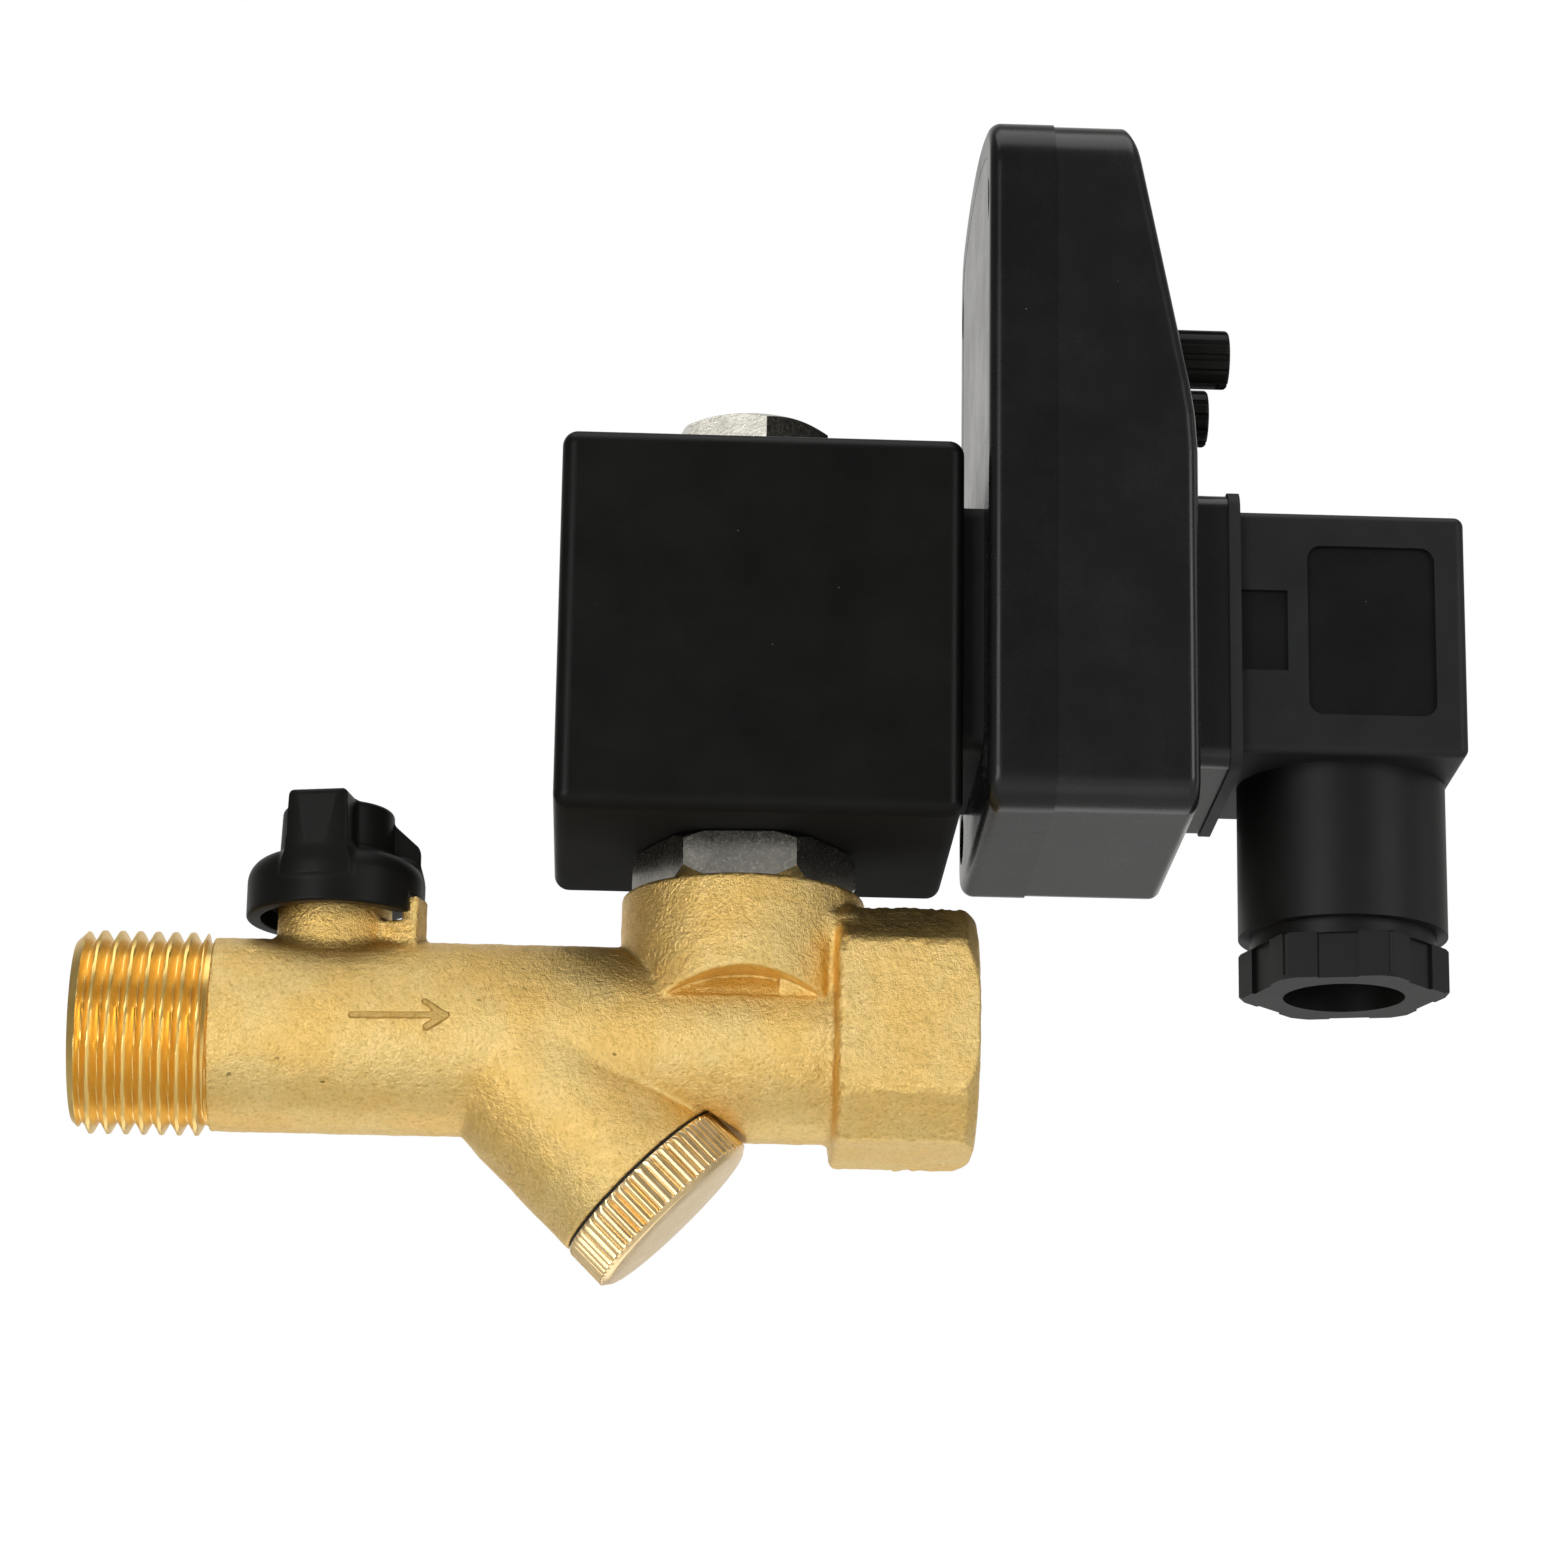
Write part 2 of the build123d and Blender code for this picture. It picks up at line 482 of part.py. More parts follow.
board = bb(100.3, 101.9, -16.6, 16.6, 24.6, 93.0)
for y, z in posts:
    board -= cx(3.3, 100, 103, y, z)
board -= cx(3.6, 100, 103, 0, DIN_Z) + cx(3.4, 100, 103, 0, DIN_COIL_Z)
for y, z, w, h in blades2:
    board -= bb(100, 102.6, y - w / 2 - 0.05, y + w / 2 + 0.05, z - h / 2 - 0.05, z + h / 2 + 0.05)
keep("timer_circuit_board", board)
keep("timer_relay", fillet(bb(101.95, 110.2, -9.5, 9.5, 54.5, 66.5).edges(), 0.5))
capa = fillet(cx(3.3, 101.95, 110.0, -8.0, 31.8).edges(), 0.4)
keep("timer_capacitor", capa)
pots = [fillet(bb(101.95, 106.2, y - 4.6, y + 4.6, KNOB_Z - 4.6, KNOB_Z + 4.6).edges().filter_by(Axis.X), 0.8) for y in (-KNOB_Y, KNOB_Y)]
keep("timer_potentiometers", group([p - cx(1.6, 100, 108, y, KNOB_Z) for p, y in zip(pots, (-KNOB_Y, KNOB_Y))]))


def knob(y):
    k = cx(KNOB_R, 107.0, KNOB_TIP, y, KNOB_Z)
    k = fillet(k.edges().sort_by(Axis.X)[-1], 0.45)
    k += cx(1.5, 103.0, 107.1, y, KNOB_Z)
    for i in range(12):
        a = math.radians(30 * i + 15)
        k -= cx(0.42, 112.9, KNOB_TIP + 1, y + (KNOB_R + 0.12) * math.cos(a), KNOB_Z + (KNOB_R + 0.12) * math.sin(a))
    k -= bb(KNOB_TIP - 1.3, KNOB_TIP + 1, y - 0.5, y + 0.5, KNOB_Z - 4, KNOB_Z + 4)
    return k


keep("time_on_knob", knob(-KNOB_Y))
keep("time_off_knob", knob(KNOB_Y))
btn_tip = slope_x(BTN_Z) + 0.55
btn = cx(2.45, 103.7, btn_tip, 0, BTN_Z)
btn = fillet(btn.edges().sort_by(Axis.X)[-1], 0.5)
btn += cx(3.0, 105.0, 105.8, 0, BTN_Z)
keep("test_button", btn)
keep("button_switch", bb(101.95, 102.9, -3.0, 3.0, BTN_Z - 3.0, BTN_Z + 3.0))
leds = []
for y in (-10.5, 10.5):
    tip = slope_x(LED_Z) + 0.45
    l = cx(1.5, 102.0, tip, y, LED_Z)
    leds.append(fillet(l.edges().sort_by(Axis.X)[-1], 0.7))
keep("indicator_lamps", group(leds))

screws = []
for y, z in posts:
    s = cx(2.65, TX0 + 0.5, TX0 + 2.2, y, z) + cx(1.1, TX0 + 2.1, 104.6, y, z)
    s -= bb(TX0, TX0 + 1.3, y - 1.6, y + 1.6, z - 0.3, z + 0.3) + bb(TX0, TX0 + 1.3, y - 0.3, y + 0.3, z - 1.6, z + 1.6)
    screws.append(s)
keep("timer_case_screws", group(screws))

socks = []
for y, z, w, h in blades:
    o = bb(94.6, 100.25, y - w / 2 - 0.7, y + w / 2 + 0.7, z - h / 2 - 0.7, z + h / 2 + 0.7)
    socks.append(o - bb(94, 98.8, y - w / 2 - 0.02, y + w / 2 + 0.02, z - h / 2 - 0.02, z + h / 2 + 0.02))
keep("timer_coil_sockets", group(socks))
keep("timer_terminals", group([bb(100.35, 127.6, y - w / 2, y + w / 2, z - h / 2, z + h / 2) for y, z, w, h in blades2]))

# ------------------------------------------------------------------- connector
kg = bb(PED_X1, GSK_X1, -14.9, 14.9, 27.3, 57.5)
kg = fillet(kg.edges().filter_by(Axis.X), 2.4)
for y, z, w, h in blades2:
    kg -= bb(PED_X1 - 1, GSK_X1 + 1, y - w / 2 - 0.1, y + w / 2 + 0.1, z - h / 2 - 0.1, z + h / 2 + 0.1)
kg -= cx(1.75, PED_X1 - 1, GSK_X1 + 1, 0, DIN_Z)
keep("connector_gasket", kg)

kh = bb(KX0, KX1, -KY, KY, KZ0, KZ1)
kh = fillet(kh.edges().filter_by(lambda e: e.center().X > KX0 + 0.1), 1.0)
kh += cz(G_R, G_Z0, KZ0 + 2, GX)
kh -= bb(KX0 - 1, KX1 - 2.2, -KY + 2, KY - 2, KZ0 + 2.2, KZ1 - 2.2)
kh -= cz(8.95, G_Z0 - 1, KZ0 + 4, GX)
for sy in (-1, 1):
    # shallow bare panel and latch window in each side
    kh -= fillet(bb(126.2, 139.5, sy * KY - 0.55, sy * KY + 0.55, 33.5, 51.8).edges().filter_by(Axis.Y), 1.5)
    kh -= bb(KX0 - 1, 124.1, sy * KY - 0.45, sy * KY + 0.45, 38.1, 46.8)
kh += cx(3.6, 134.0, KX1 - 1, 0, DIN_Z)
kh -= cx(1.7, 130, KX1 + 1, 0, DIN_Z)
kh -= cx(3.15, KX1 - 2.4, KX1 + 1, 0, DIN_Z)
keep("connector_housing", kh)

ins = bb(KX0 + 0.02, 133.9, -KY + 2.05, KY - 2.05, KZ0 + 2.4, KZ1 - 2.3)
ins -= cx(1.75, KX0 - 1, 135, 0, DIN_Z)
ins -= bb(129.4, 135, -7.5, 7.5, KZ0, 45.0) - cx(3.3, 128, 136, 0, DIN_Z)
for y, z, w, h in blades2:
    ins -= bb(KX0 - 1, 128.6, y - w / 2 - 0.62, y + w / 2 + 0.62, z - h / 2 - 0.62, z + h / 2 + 0.62)
keep("terminal_block", ins)
cons = []
for y, z, w, h in blades2:
    o = bb(KX0 + 0.6, 128.5, y - w / 2 - 0.6, y + w / 2 + 0.6, z - h / 2 - 0.6, z + h / 2 + 0.6)
    cons.append(o - bb(KX0 - 1, 127.9, y - w / 2 - 0.02, y + w / 2 + 0.02, z - h / 2 - 0.02, z + h / 2 + 0.02))
keep("connector_contacts", group(cons))

ks = cx(3.0, KX1 - 2.35, KX1 - 0.15, 0, DIN_Z)
ks = fillet(ks.edges().sort_by(Axis.X)[-1], 0.6)
ks += cx(1.5, 88.0, KX1 - 2.3, 0, DIN_Z)
ks -= bb(KX1 - 1.3, KX1 + 1, -0.4, 0.4, DIN_Z - 4, DIN_Z + 4)
keep("connector_screw", ks)

gn = hexagon_z(GN_R * math.sqrt(3), GN_Z0, GN_Z1, GX, 0, GN_TURN)
gn = fillet(gn.edges().filter_by(Axis.Z), 0.6)
gn = gn & rev_z([(10.5, GN_Z0), (11.2, GN_Z0 + 0.5), (11.2, GN_Z1 - 0.4), (10.7, GN_Z1)], GX)
for k in range(6):
    a = GN_TURN + 30 + 60 * k
    gn -= Pos(GX, 0, 0) * Rot(0, 0, a) * bb(GN_R * math.sqrt(3) / 2 - 0.35, 14, -2.1, 2.1, GN_Z0 - 1, GN_Z1 + 1)
gn += cz(9.75, GN_Z1 - 0.1, G_Z0 + 0.0, GX) + cz(8.9, G_Z0 - 0.1, 19.8, GX)
gn -= cz(GN_HOLE, 0, 30, GX)
keep("gland_nut", gn)
keep("gland_washer", cz(8.8, 19.82, 20.5, GX) - cz(5.6, 15, 25, GX))
gr = cz(8.85, 20.52, 28.6, GX)
gr = chamfer(gr.edges().sort_by(Axis.Z)[-1], 0.8)
gr -= cz(3.75, 15, 32, GX)
keep("gland_grommet", gr)

os.makedirs("parts", exist_ok=True)
for name, shape in PARTS.items():
    export_step(shape, "parts/" + name + ".step")
    print(name)
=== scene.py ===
import math

import bmesh
import bpy
import numpy as np
from mathutils import Matrix, Vector


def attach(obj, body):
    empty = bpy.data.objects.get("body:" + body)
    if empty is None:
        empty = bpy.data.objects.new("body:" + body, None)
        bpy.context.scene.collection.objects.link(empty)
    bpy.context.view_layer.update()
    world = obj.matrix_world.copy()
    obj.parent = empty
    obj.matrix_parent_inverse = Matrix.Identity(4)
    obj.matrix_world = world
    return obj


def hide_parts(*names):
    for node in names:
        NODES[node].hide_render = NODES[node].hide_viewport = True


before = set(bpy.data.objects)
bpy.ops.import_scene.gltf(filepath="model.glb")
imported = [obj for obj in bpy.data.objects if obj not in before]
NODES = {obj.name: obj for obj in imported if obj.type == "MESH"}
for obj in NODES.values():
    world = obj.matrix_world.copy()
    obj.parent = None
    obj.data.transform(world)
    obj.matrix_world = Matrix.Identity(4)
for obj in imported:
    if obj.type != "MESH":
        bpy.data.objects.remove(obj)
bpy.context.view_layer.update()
scene = bpy.context.scene
MM = 0.001

# ------------------------------------------------------------ shared sizes, mm
PITCH, R_MAJOR, R_MINOR, LAND = 1.814, 10.4775, 9.3155, 0.34
TUBE_R, IN_CREST0, SHOULDER_X = 9.97, 2.34, 14.06
HX, SX, BX = 26.1, 68.5, 44.0
BR_R, BR_FACE = 10.1, 20.25
CAP_R, CAP_S0, CAP_S1 = 10.25, 20.75, 25.75
BOSS_R, BOSS_TOP = 12.64, 15.4
OX0, OX1, OZ, O_HALF, O_FLAT = 78.1, 92.5, 1.05, 12.22, 7.8
Q = math.sqrt(0.5)


# ------------------------------------------------------------- node materials
class Tree:
    def __init__(self, name):
        self.mat = bpy.data.materials.new(name)
        self.mat.use_nodes = True
        self.nt = self.mat.node_tree
        self.nt.nodes.clear()
        self.out = self.nt.nodes.new("ShaderNodeOutputMaterial")
        self.bsdf = self.nt.nodes.new("ShaderNodeBsdfPrincipled")
        self.nt.links.new(self.bsdf.outputs["BSDF"], self.out.inputs["Surface"])
        tc = self.nt.nodes.new("ShaderNodeTexCoord")
        mp = self.nt.nodes.new("ShaderNodeMapping")
        mp.inputs["Scale"].default_value = (1000, 1000, 1000)
        self.nt.links.new(tc.outputs["Object"], mp.inputs["Vector"])
        self.mm = mp.outputs["Vector"]

    def node(self, kind, **settings):
        n = self.nt.nodes.new(kind)
        for k, v in settings.items():
            setattr(n, k, v)
        return n

    def link(self, a, b):
        self.nt.links.new(a, b)

    def scaled(self, sx, sy, sz, rot=(0, 0, 0)):
        mp = self.node("ShaderNodeMapping")
        mp.inputs["Scale"].default_value = (sx, sy, sz)
        mp.inputs["Rotation"].default_value = rot
        self.link(self.mm, mp.inputs["Vector"])
        return mp.outputs["Vector"]

    def noise(self, scale, detail=2.0, rough=0.5, vec=None, distort=0.0):
        n = self.node("ShaderNodeTexNoise")
        n.inputs["Scale"].default_value = scale
        n.inputs["Detail"].default_value = detail
        n.inputs["Roughness"].default_value = rough
        n.inputs["Distortion"].default_value = distort
        self.link(vec or self.mm, n.inputs["Vector"])
        return n.outputs["Fac"]

    def voronoi(self, scale, vec=None, feature="F1", randomness=1.0):
        n = self.node("ShaderNodeTexVoronoi", feature=feature)
        n.inputs["Scale"].default_value = scale
        n.inputs["Randomness"].default_value = randomness
        self.link(vec or self.mm, n.inputs["Vector"])
        return n

    def ramp(self, fac, stops, interp="LINEAR"):
        n = self.node("ShaderNodeValToRGB")
        n.color_ramp.interpolation = interp
        el = n.color_ramp.elements
        while len(el) > 1:
            el.remove(el[-1])
        el[0].position, el[0].color = stops[0][0], self.rgba(stops[0][1])
        for p, c in stops[1:]:
            e = el.new(p)
            e.color = self.rgba(c)
        self.link(fac, n.inputs["Fac"])
        return n.outputs["Color"]

    @staticmethod
    def rgba(c):
        return (c, c, c, 1) if isinstance(c, (int, float)) else (*c, 1)

    def math(self, op, a, b=None, c=None):
        n = self.node("ShaderNodeMath", operation=op)
        for i, v in enumerate((a, b, c)):
            if v is None:
                continue
            if isinstance(v, (int, float)):
                n.inputs[i].default_value = v
            else:
                self.link(v, n.inputs[i])
        return n.outputs[0]

    def mix(self, fac, a, b, blend="MIX"):
        n = self.node("ShaderNodeMix", data_type="RGBA", blend_type=blend)
        for key, v in ((0, fac), (6, a), (7, b)):
            if isinstance(v, (int, float)) and key == 0:
                n.inputs[key].default_value = v
            elif isinstance(v, (tuple, list, int, float)):
                n.inputs[key].default_value = self.rgba(v)
            else:
                self.link(v, n.inputs[key])
        return n.outputs[2]

    def bump(self, height, strength, distance_mm, normal=None):
        n = self.node("ShaderNodeBump")
        n.inputs["Strength"].default_value = strength
        n.inputs["Distance"].default_value = distance_mm * MM
        self.link(height, n.inputs["Height"])
        if normal is not None:
            self.link(normal, n.inputs["Normal"])
        return n.outputs["Normal"]

    def set(self, **values):
        names = {"metallic": "Metallic", "rough": "Roughness", "ior": "IOR", "spec": "Specular IOR Level",
                 "color": "Base Color", "normal": "Normal", "coat": "Coat Weight", "coat_rough": "Coat Roughness",
                 "aniso": "Anisotropic", "emit": "Emission Color", "emit_strength": "Emission Strength", "trans": "Transmission Weight"}
        for k, v in values.items():
            s = self.bsdf.inputs[names[k]]
            if isinstance(v, (int, float)):
                s.default_value = v
            elif isinstance(v, tuple):
                s.default_value = (*v, 1) if len(v) == 3 else v
            else:
                self.link(v, s)
        return self.mat


def forged_brass(name="forged_brass_blasted", warm=(0.920, 0.625, 0.222), pale=(0.925, 0.680, 0.290)):
    t = Tree(name)
    grain = t.noise(2.5, 3.0, 0.70)
    fine = t.noise(6.5, 2.0, 0.6)
    broad = t.noise(0.13, 3.0, 0.55)
    mottled = t.noise(0.9, 4.0, 0.65)
    # colour: warm brass with greenish, paler patches
    c = t.mix(t.ramp(broad, [(0.38, 0.0), (0.62, 1.0)]), warm, pale)
    c = t.mix(t.ramp(mottled, [(0.35, 0.0), (0.7, 1.0)]), c, t.mix(1.0, c, (0.90, 0.90, 0.80), "MULTIPLY"))
    c = t.mix(1.0, c, t.ramp(grain, [(0.30, (0.72, 0.67, 0.56)), (0.45, (0.94, 0.92, 0.86)), (0.64, 1.0)]), "MULTIPLY")
    # dark pits and nicks
    pits = t.voronoi(0.30)
    near = t.ramp(pits.outputs["Distance"], [(0.0, 1.0), (0.045, 0.9), (0.085, 0.0)])
    some = t.ramp(t.noise(0.21, 2.0, 0.5), [(0.54, 0.0), (0.60, 1.0)])
    nick_v = t.scaled(0.34, 0.9, 0.62, (0.4, 0.9, 0.3))
    nick = t.voronoi(1.0, nick_v)
    nearn = t.ramp(nick.outputs["Distance"], [(0.0, 1.0), (0.05, 0.8), (0.11, 0.0)])
    somen = t.ramp(t.noise(0.17, 2.0, 0.5, t.scaled(1, 1, 1, (1.1, 0.3, 2.0))), [(0.57, 0.0), (0.63, 1.0)])
    dirt = t.math("MAXIMUM", t.math("MULTIPLY", near, some), t.math("MULTIPLY", nearn, somen))
    c = t.mix(t.math("MULTIPLY", dirt, 0.8), c, (0.16, 0.10, 0.035))
    r = t.ramp(t.math("ADD", t.math("MULTIPLY", mottled, 0.6), t.math("MULTIPLY", grain, 0.4)), [(0.3, 0.33), (0.7, 0.44)])
    h = t.math("ADD", t.math("MULTIPLY", grain, 0.75), t.math("MULTIPLY", fine, 0.25))
    h = t.math("SUBTRACT", h, t.math("MULTIPLY", dirt, 0.8))
    n = t.bump(h, 1.0, 0.24)
    n = t.bump(t.noise(0.55, 2.0, 0.5), 0.35, 0.25, n)
    return t.set(color=c, metallic=1.0, rough=r, normal=n)


def turned_brass(name, tint, rough, axis):
    t = Tree(name)
    broad = t.noise(0.5, 3.0, 0.6)
    scale = {"x": (3.0, 0.15, 0.15), "d": (1.0, 1.0, 1.0)}[axis]
    lines = t.noise(2.2, 4.0, 0.6, t.scaled(*scale))
    grain = t.noise(7.0, 2.0, 0.5)
    c = t.mix(t.ramp(broad, [(0.35, 0.0), (0.65, 1.0)]), tint, tuple(min(1, x * k) for x, k in zip(tint, (1.03, 1.06, 1.14))))
    c = t.mix(1.0, c, t.ramp(grain, [(0.25, 0.88), (0.6, 1.0)]), "MULTIPLY")
    r = t.ramp(broad, [(0.3, rough - 0.04), (0.7, rough + 0.06)])
    h = t.math("ADD", t.math("MULTIPLY", lines, 0.7), t.math("MULTIPLY", grain, 0.3))
    return t.set(color=c, metallic=1.0, rough=r, normal=t.bump(h, 0.35, 0.03))


def metal(name, tint, rough, grain_scale=4.0, strength=0.2, stretch=(1, 1, 1), dark=0.85):
    t = Tree(name)
    g = t.noise(grain_scale, 3.0, 0.6, t.scaled(*stretch))
    b = t.noise(0.35, 3.0, 0.6)
    c = t.mix(t.ramp(b, [(0.35, 0.0), (0.65, 1.0)]), tuple(x * dark for x in tint), tint)
    r = t.ramp(g, [(0.3, max(0.04, rough - 0.05)), (0.7, rough + 0.07)])
    return t.set(color=c, metallic=1.0, rough=r, normal=t.bump(g, strength, 0.03))


def worn_steel():
    t = Tree("stainless_worn")
    g = t.noise(3.5, 3.0, 0.6)
    b = t.noise(0.45, 4.0, 0.7, distort=0.6)
    s = t.noise(0.9, 3.0, 0.6, t.scaled(1, 1, 0.4, (0.2, 0.5, 1.0)))
    c = t.mix(t.ramp(b, [(0.36, 0.0), (0.60, 1.0)]), (0.20, 0.185, 0.145), (0.50, 0.49, 0.43))
    c = t.mix(t.ramp(s, [(0.52, 0.0), (0.66, 0.6)]), c, (0.56, 0.46, 0.33))
    r = t.ramp(b, [(0.3, 0.34), (0.65, 0.24)])
    return t.set(color=c, metallic=1.0, rough=r, normal=t.bump(g, 0.05, 0.02))


def plastic(name, tint, rough, spec=0.5, grain=6.0, strength=0.1, dust=0.0, ior=1.47, wave=0.0, matte_below=0.0):
    t = Tree(name)
    g = t.noise(grain, 3.0, 0.6)
    b = t.noise(0.12, 4.0, 0.6)
    c = t.mix(t.ramp(b, [(0.35, 0.0), (0.65, 1.0)]), tuple(x * 0.8 for x in tint), tuple(x * 1.2 for x in tint))
    if dust:
        v = t.voronoi(0.42)
        near = t.ramp(v.outputs["Distance"], [(0.0, 1.0), (0.022, 1.0), (0.04, 0.0)])
        some = t.ramp(t.noise(0.31, 1.0, 0.5, t.scaled(1, 1, 1, (0.5, 1.3, 0.2))), [(0.56, 0.0), (0.60, 1.0)])
        scr = t.voronoi(1.0, t.scaled(0.16, 0.16, 1.1, (0.35, 0.2, 0.9)))
        nears = t.ramp(scr.outputs["Distance"], [(0.0, 1.0), (0.02, 0.5), (0.035, 0.0)])
        f = t.math("MAXIMUM", t.math("MULTIPLY", near, some), t.math("MULTIPLY", nears, t.math("MULTIPLY", some, 0.35)))
        c = t.mix(t.math("MULTIPLY", f, dust), c, (0.16, 0.15, 0.13))
    r = t.ramp(t.math("ADD", t.math("MULTIPLY", b, 0.7), t.math("MULTIPLY", g, 0.3)), [(0.3, max(0.05, rough - 0.05)), (0.7, rough + 0.06)])
    if matte_below:
        # the mould's parting side is rougher than its polished faces
        geo = t.node("ShaderNodeNewGeometry")
        sep = t.node("ShaderNodeSeparateXYZ")
        t.link(geo.outputs["Normal"], sep.inputs[0])
        down = t.ramp(t.math("MULTIPLY", sep.outputs["Z"], -1.0), [(0.35, 0.0), (0.85, 1.0)])
        r = t.math("ADD", r, t.math("MULTIPLY", down, matte_below))
    n = t.bump(g, strength, 0.02)
    if wave:
        n = t.bump(t.noise(0.09, 1.0, 0.4), wave, 0.5, n)
    return t.set(color=c, rough=r, spec=spec, ior=ior, normal=n)


def connector_plastic():
    """Spark-eroded outer faces, smoother in the recesses and on the gland sleeve, where painted shade also darkens the
    colour.
    """
    t = Tree("connector_moulding_body")
    sep = t.node("ShaderNodeSeparateXYZ")
    t.link(t.mm, sep.inputs[0])
    x, y, z = sep.outputs
    inset = t.math("LESS_THAN", t.math("ABSOLUTE", y), 13.32)
    inset = t.math("MULTIPLY", inset, t.math("LESS_THAN", x, 140.0))
    inset = t.math("MULTIPLY", inset, t.math("LESS_THAN", t.math("ABSOLUTE", t.math("SUBTRACT", z, 42.6)), 9.6))
    sleeve = t.math("LESS_THAN", z, 29.25)
    g = t.noise(7.0, 3.0, 0.6)
    b = t.noise(0.12, 4.0, 0.6)
    c = t.mix(t.ramp(b, [(0.35, 0.0), (0.65, 1.0)]), (0.0075, 0.0083, 0.0080), (0.0110, 0.0120, 0.0116))
    # painted shade: the recessed panel and the gland sleeve get a darker colour than the outer faces
    dark = t.mix(t.ramp(b, [(0.35, 0.0), (0.65, 1.0)]), (0.0034, 0.0035, 0.0034), (0.0050, 0.0052, 0.0050))
    c = t.mix(t.math("MAXIMUM", inset, sleeve), c, dark)
    v = t.voronoi(0.42)
    near = t.ramp(v.outputs["Distance"], [(0.0, 1.0), (0.022, 1.0), (0.04, 0.0)])
    some = t.ramp(t.noise(0.31, 1.0, 0.5, t.scaled(1, 1, 1, (0.5, 1.3, 0.2))), [(0.56, 0.0), (0.60, 1.0)])
    c = t.mix(t.math("MULTIPLY", t.math("MULTIPLY", near, some), 0.4), c, (0.16, 0.15, 0.13))
    r = t.ramp(t.math("ADD", t.math("MULTIPLY", b, 0.5), t.math("MULTIPLY", g, 0.5)), [(0.3, 0.44), (0.7, 0.54)])
    r = t.math("SUBTRACT", r, t.math("MULTIPLY", inset, 0.16))
    return t.set(color=c, rough=r, spec=0.28, ior=1.47, normal=t.bump(g, 0.26, 0.02))


def rubber(name, tint=(0.012, 0.012, 0.012)):
    return plastic(name, tint, 0.62, 0.35, 9.0, 0.2)


def steel_mesh():
    t = Tree("woven_mesh")
    w1 = t.node("ShaderNodeTexWave", wave_type="BANDS", bands_direction="X")
    w2 = t.node("ShaderNodeTexWave", wave_type="BANDS", bands_direction="Z")
    for w in (w1, w2):
        w.inputs["Scale"].default_value = 1.0
        t.link(t.mm, w.inputs["Vector"])
    f = t.math("MAXIMUM", w1.outputs["Fac"], w2.outputs["Fac"])
    c = t.mix(f, (0.16, 0.155, 0.15), (0.60, 0.59, 0.57))
    return t.set(color=c, metallic=1.0, rough=t.ramp(f, [(0, 0.5), (1, 0.3)]), normal=t.bump(f, 0.6, 0.06))


def lamp_lens():
    t = Tree("red_lens")
    n = t.noise(1.2, 2.0, 0.5)
    c = t.mix(n, (0.40, 0.008, 0.006), (0.62, 0.02, 0.012))
    return t.set(color=c, rough=t.ramp(n, [(0.3, 0.10), (0.7, 0.18)]), ior=1.5, normal=t.bump(n, 0.1, 0.02), coat=0.4)


BRASS = forged_brass()
ARROW_BRASS = forged_brass("forged_brass_arrow", (0.60, 0.385, 0.115), (0.66, 0.46, 0.165))
THREAD_BRASS = turned_brass("turned_brass_thread", (0.93, 0.635, 0.200), 0.34, "x")
CAP_BRASS = turned_brass("turned_brass_cap", (0.94, 0.695, 0.350), 0.30, "d")
COIL_BLACK = plastic("coil_moulding", (0.0040, 0.0040, 0.0036), 0.40, 0.17, 5.0, 0.22, 0.55, wave=0.12, matte_below=0.45)
TIMER_BLACK = plastic("timer_moulding", (0.0068, 0.0071, 0.0069), 0.25, 0.47, 5.0, 0.08, 0.8, wave=0.10)
TIMER_REAR = plastic("timer_moulding_rear", (0.0050, 0.0054, 0.0054), 0.27, 0.38, 5.0, 0.08, 0.8, wave=0.10)
CONN_BLACK = plastic("connector_moulding", (0.0042, 0.0043, 0.0041), 0.46, 0.28, 7.0, 0.25, 0.25)
CONN_BODY = connector_plastic()
HANDLE_BLACK = plastic("handle_moulding", (0.0062, 0.0062, 0.0056), 0.42, 0.13, 6.0, 0.22, 0.5)
RUBBER = rubber("gasket_rubber")
SLOT_MATS = {
    "forged_brass": BRASS,
    "turned_brass": THREAD_BRASS,
    "chromed_ball": metal("chromed_ball", (0.72, 0.73, 0.74), 0.08, 3.0, 0.05),
    "ptfe": plastic("ptfe_seat", (0.74, 0.73, 0.70), 0.45, 0.4, 4.0, 0.1),
    "rubber_black": RUBBER,
    "handle_black": HANDLE_BLACK,
    "zinc_screw": metal("zinc_screw", (0.62, 0.60, 0.52), 0.28, 5.0, 0.25),
    "stainless": worn_steel(),
    "mesh_stainless": steel_mesh(),
    "nickel": metal("nickel_plate", (0.62, 0.60, 0.53), 0.22, 3.0, 0.25, dark=0.75),
    "copper": metal("copper_ring", (0.90, 0.48, 0.32), 0.3),
    "copper_wire": metal("enamelled_wire", (0.72, 0.27, 0.10), 0.35, 2.0, 0.8, (0.2, 0.2, 4.0)),
    "yoke_steel": metal("yoke_steel", (0.40, 0.40, 0.42), 0.4),
    "coil_black": COIL_BLACK,
    "timer_black": TIMER_BLACK,
    "connector_black": CONN_BLACK,
    "insert_grey": plastic("insert_grey", (0.17, 0.175, 0.18), 0.5, 0.4, 5.0, 0.15),
    "board_green": plastic("board_green", (0.012, 0.075, 0.03), 0.35, 0.5, 3.0, 0.15),
    "relay_blue": plastic("relay_blue", (0.02, 0.07, 0.22), 0.35, 0.5, 3.0, 0.1),
    "lamp_red": lamp_lens(),
    "button_red": plastic("button_red", (0.42, 0.022, 0.018), 0.3, 0.5, 4.0, 0.12),
}
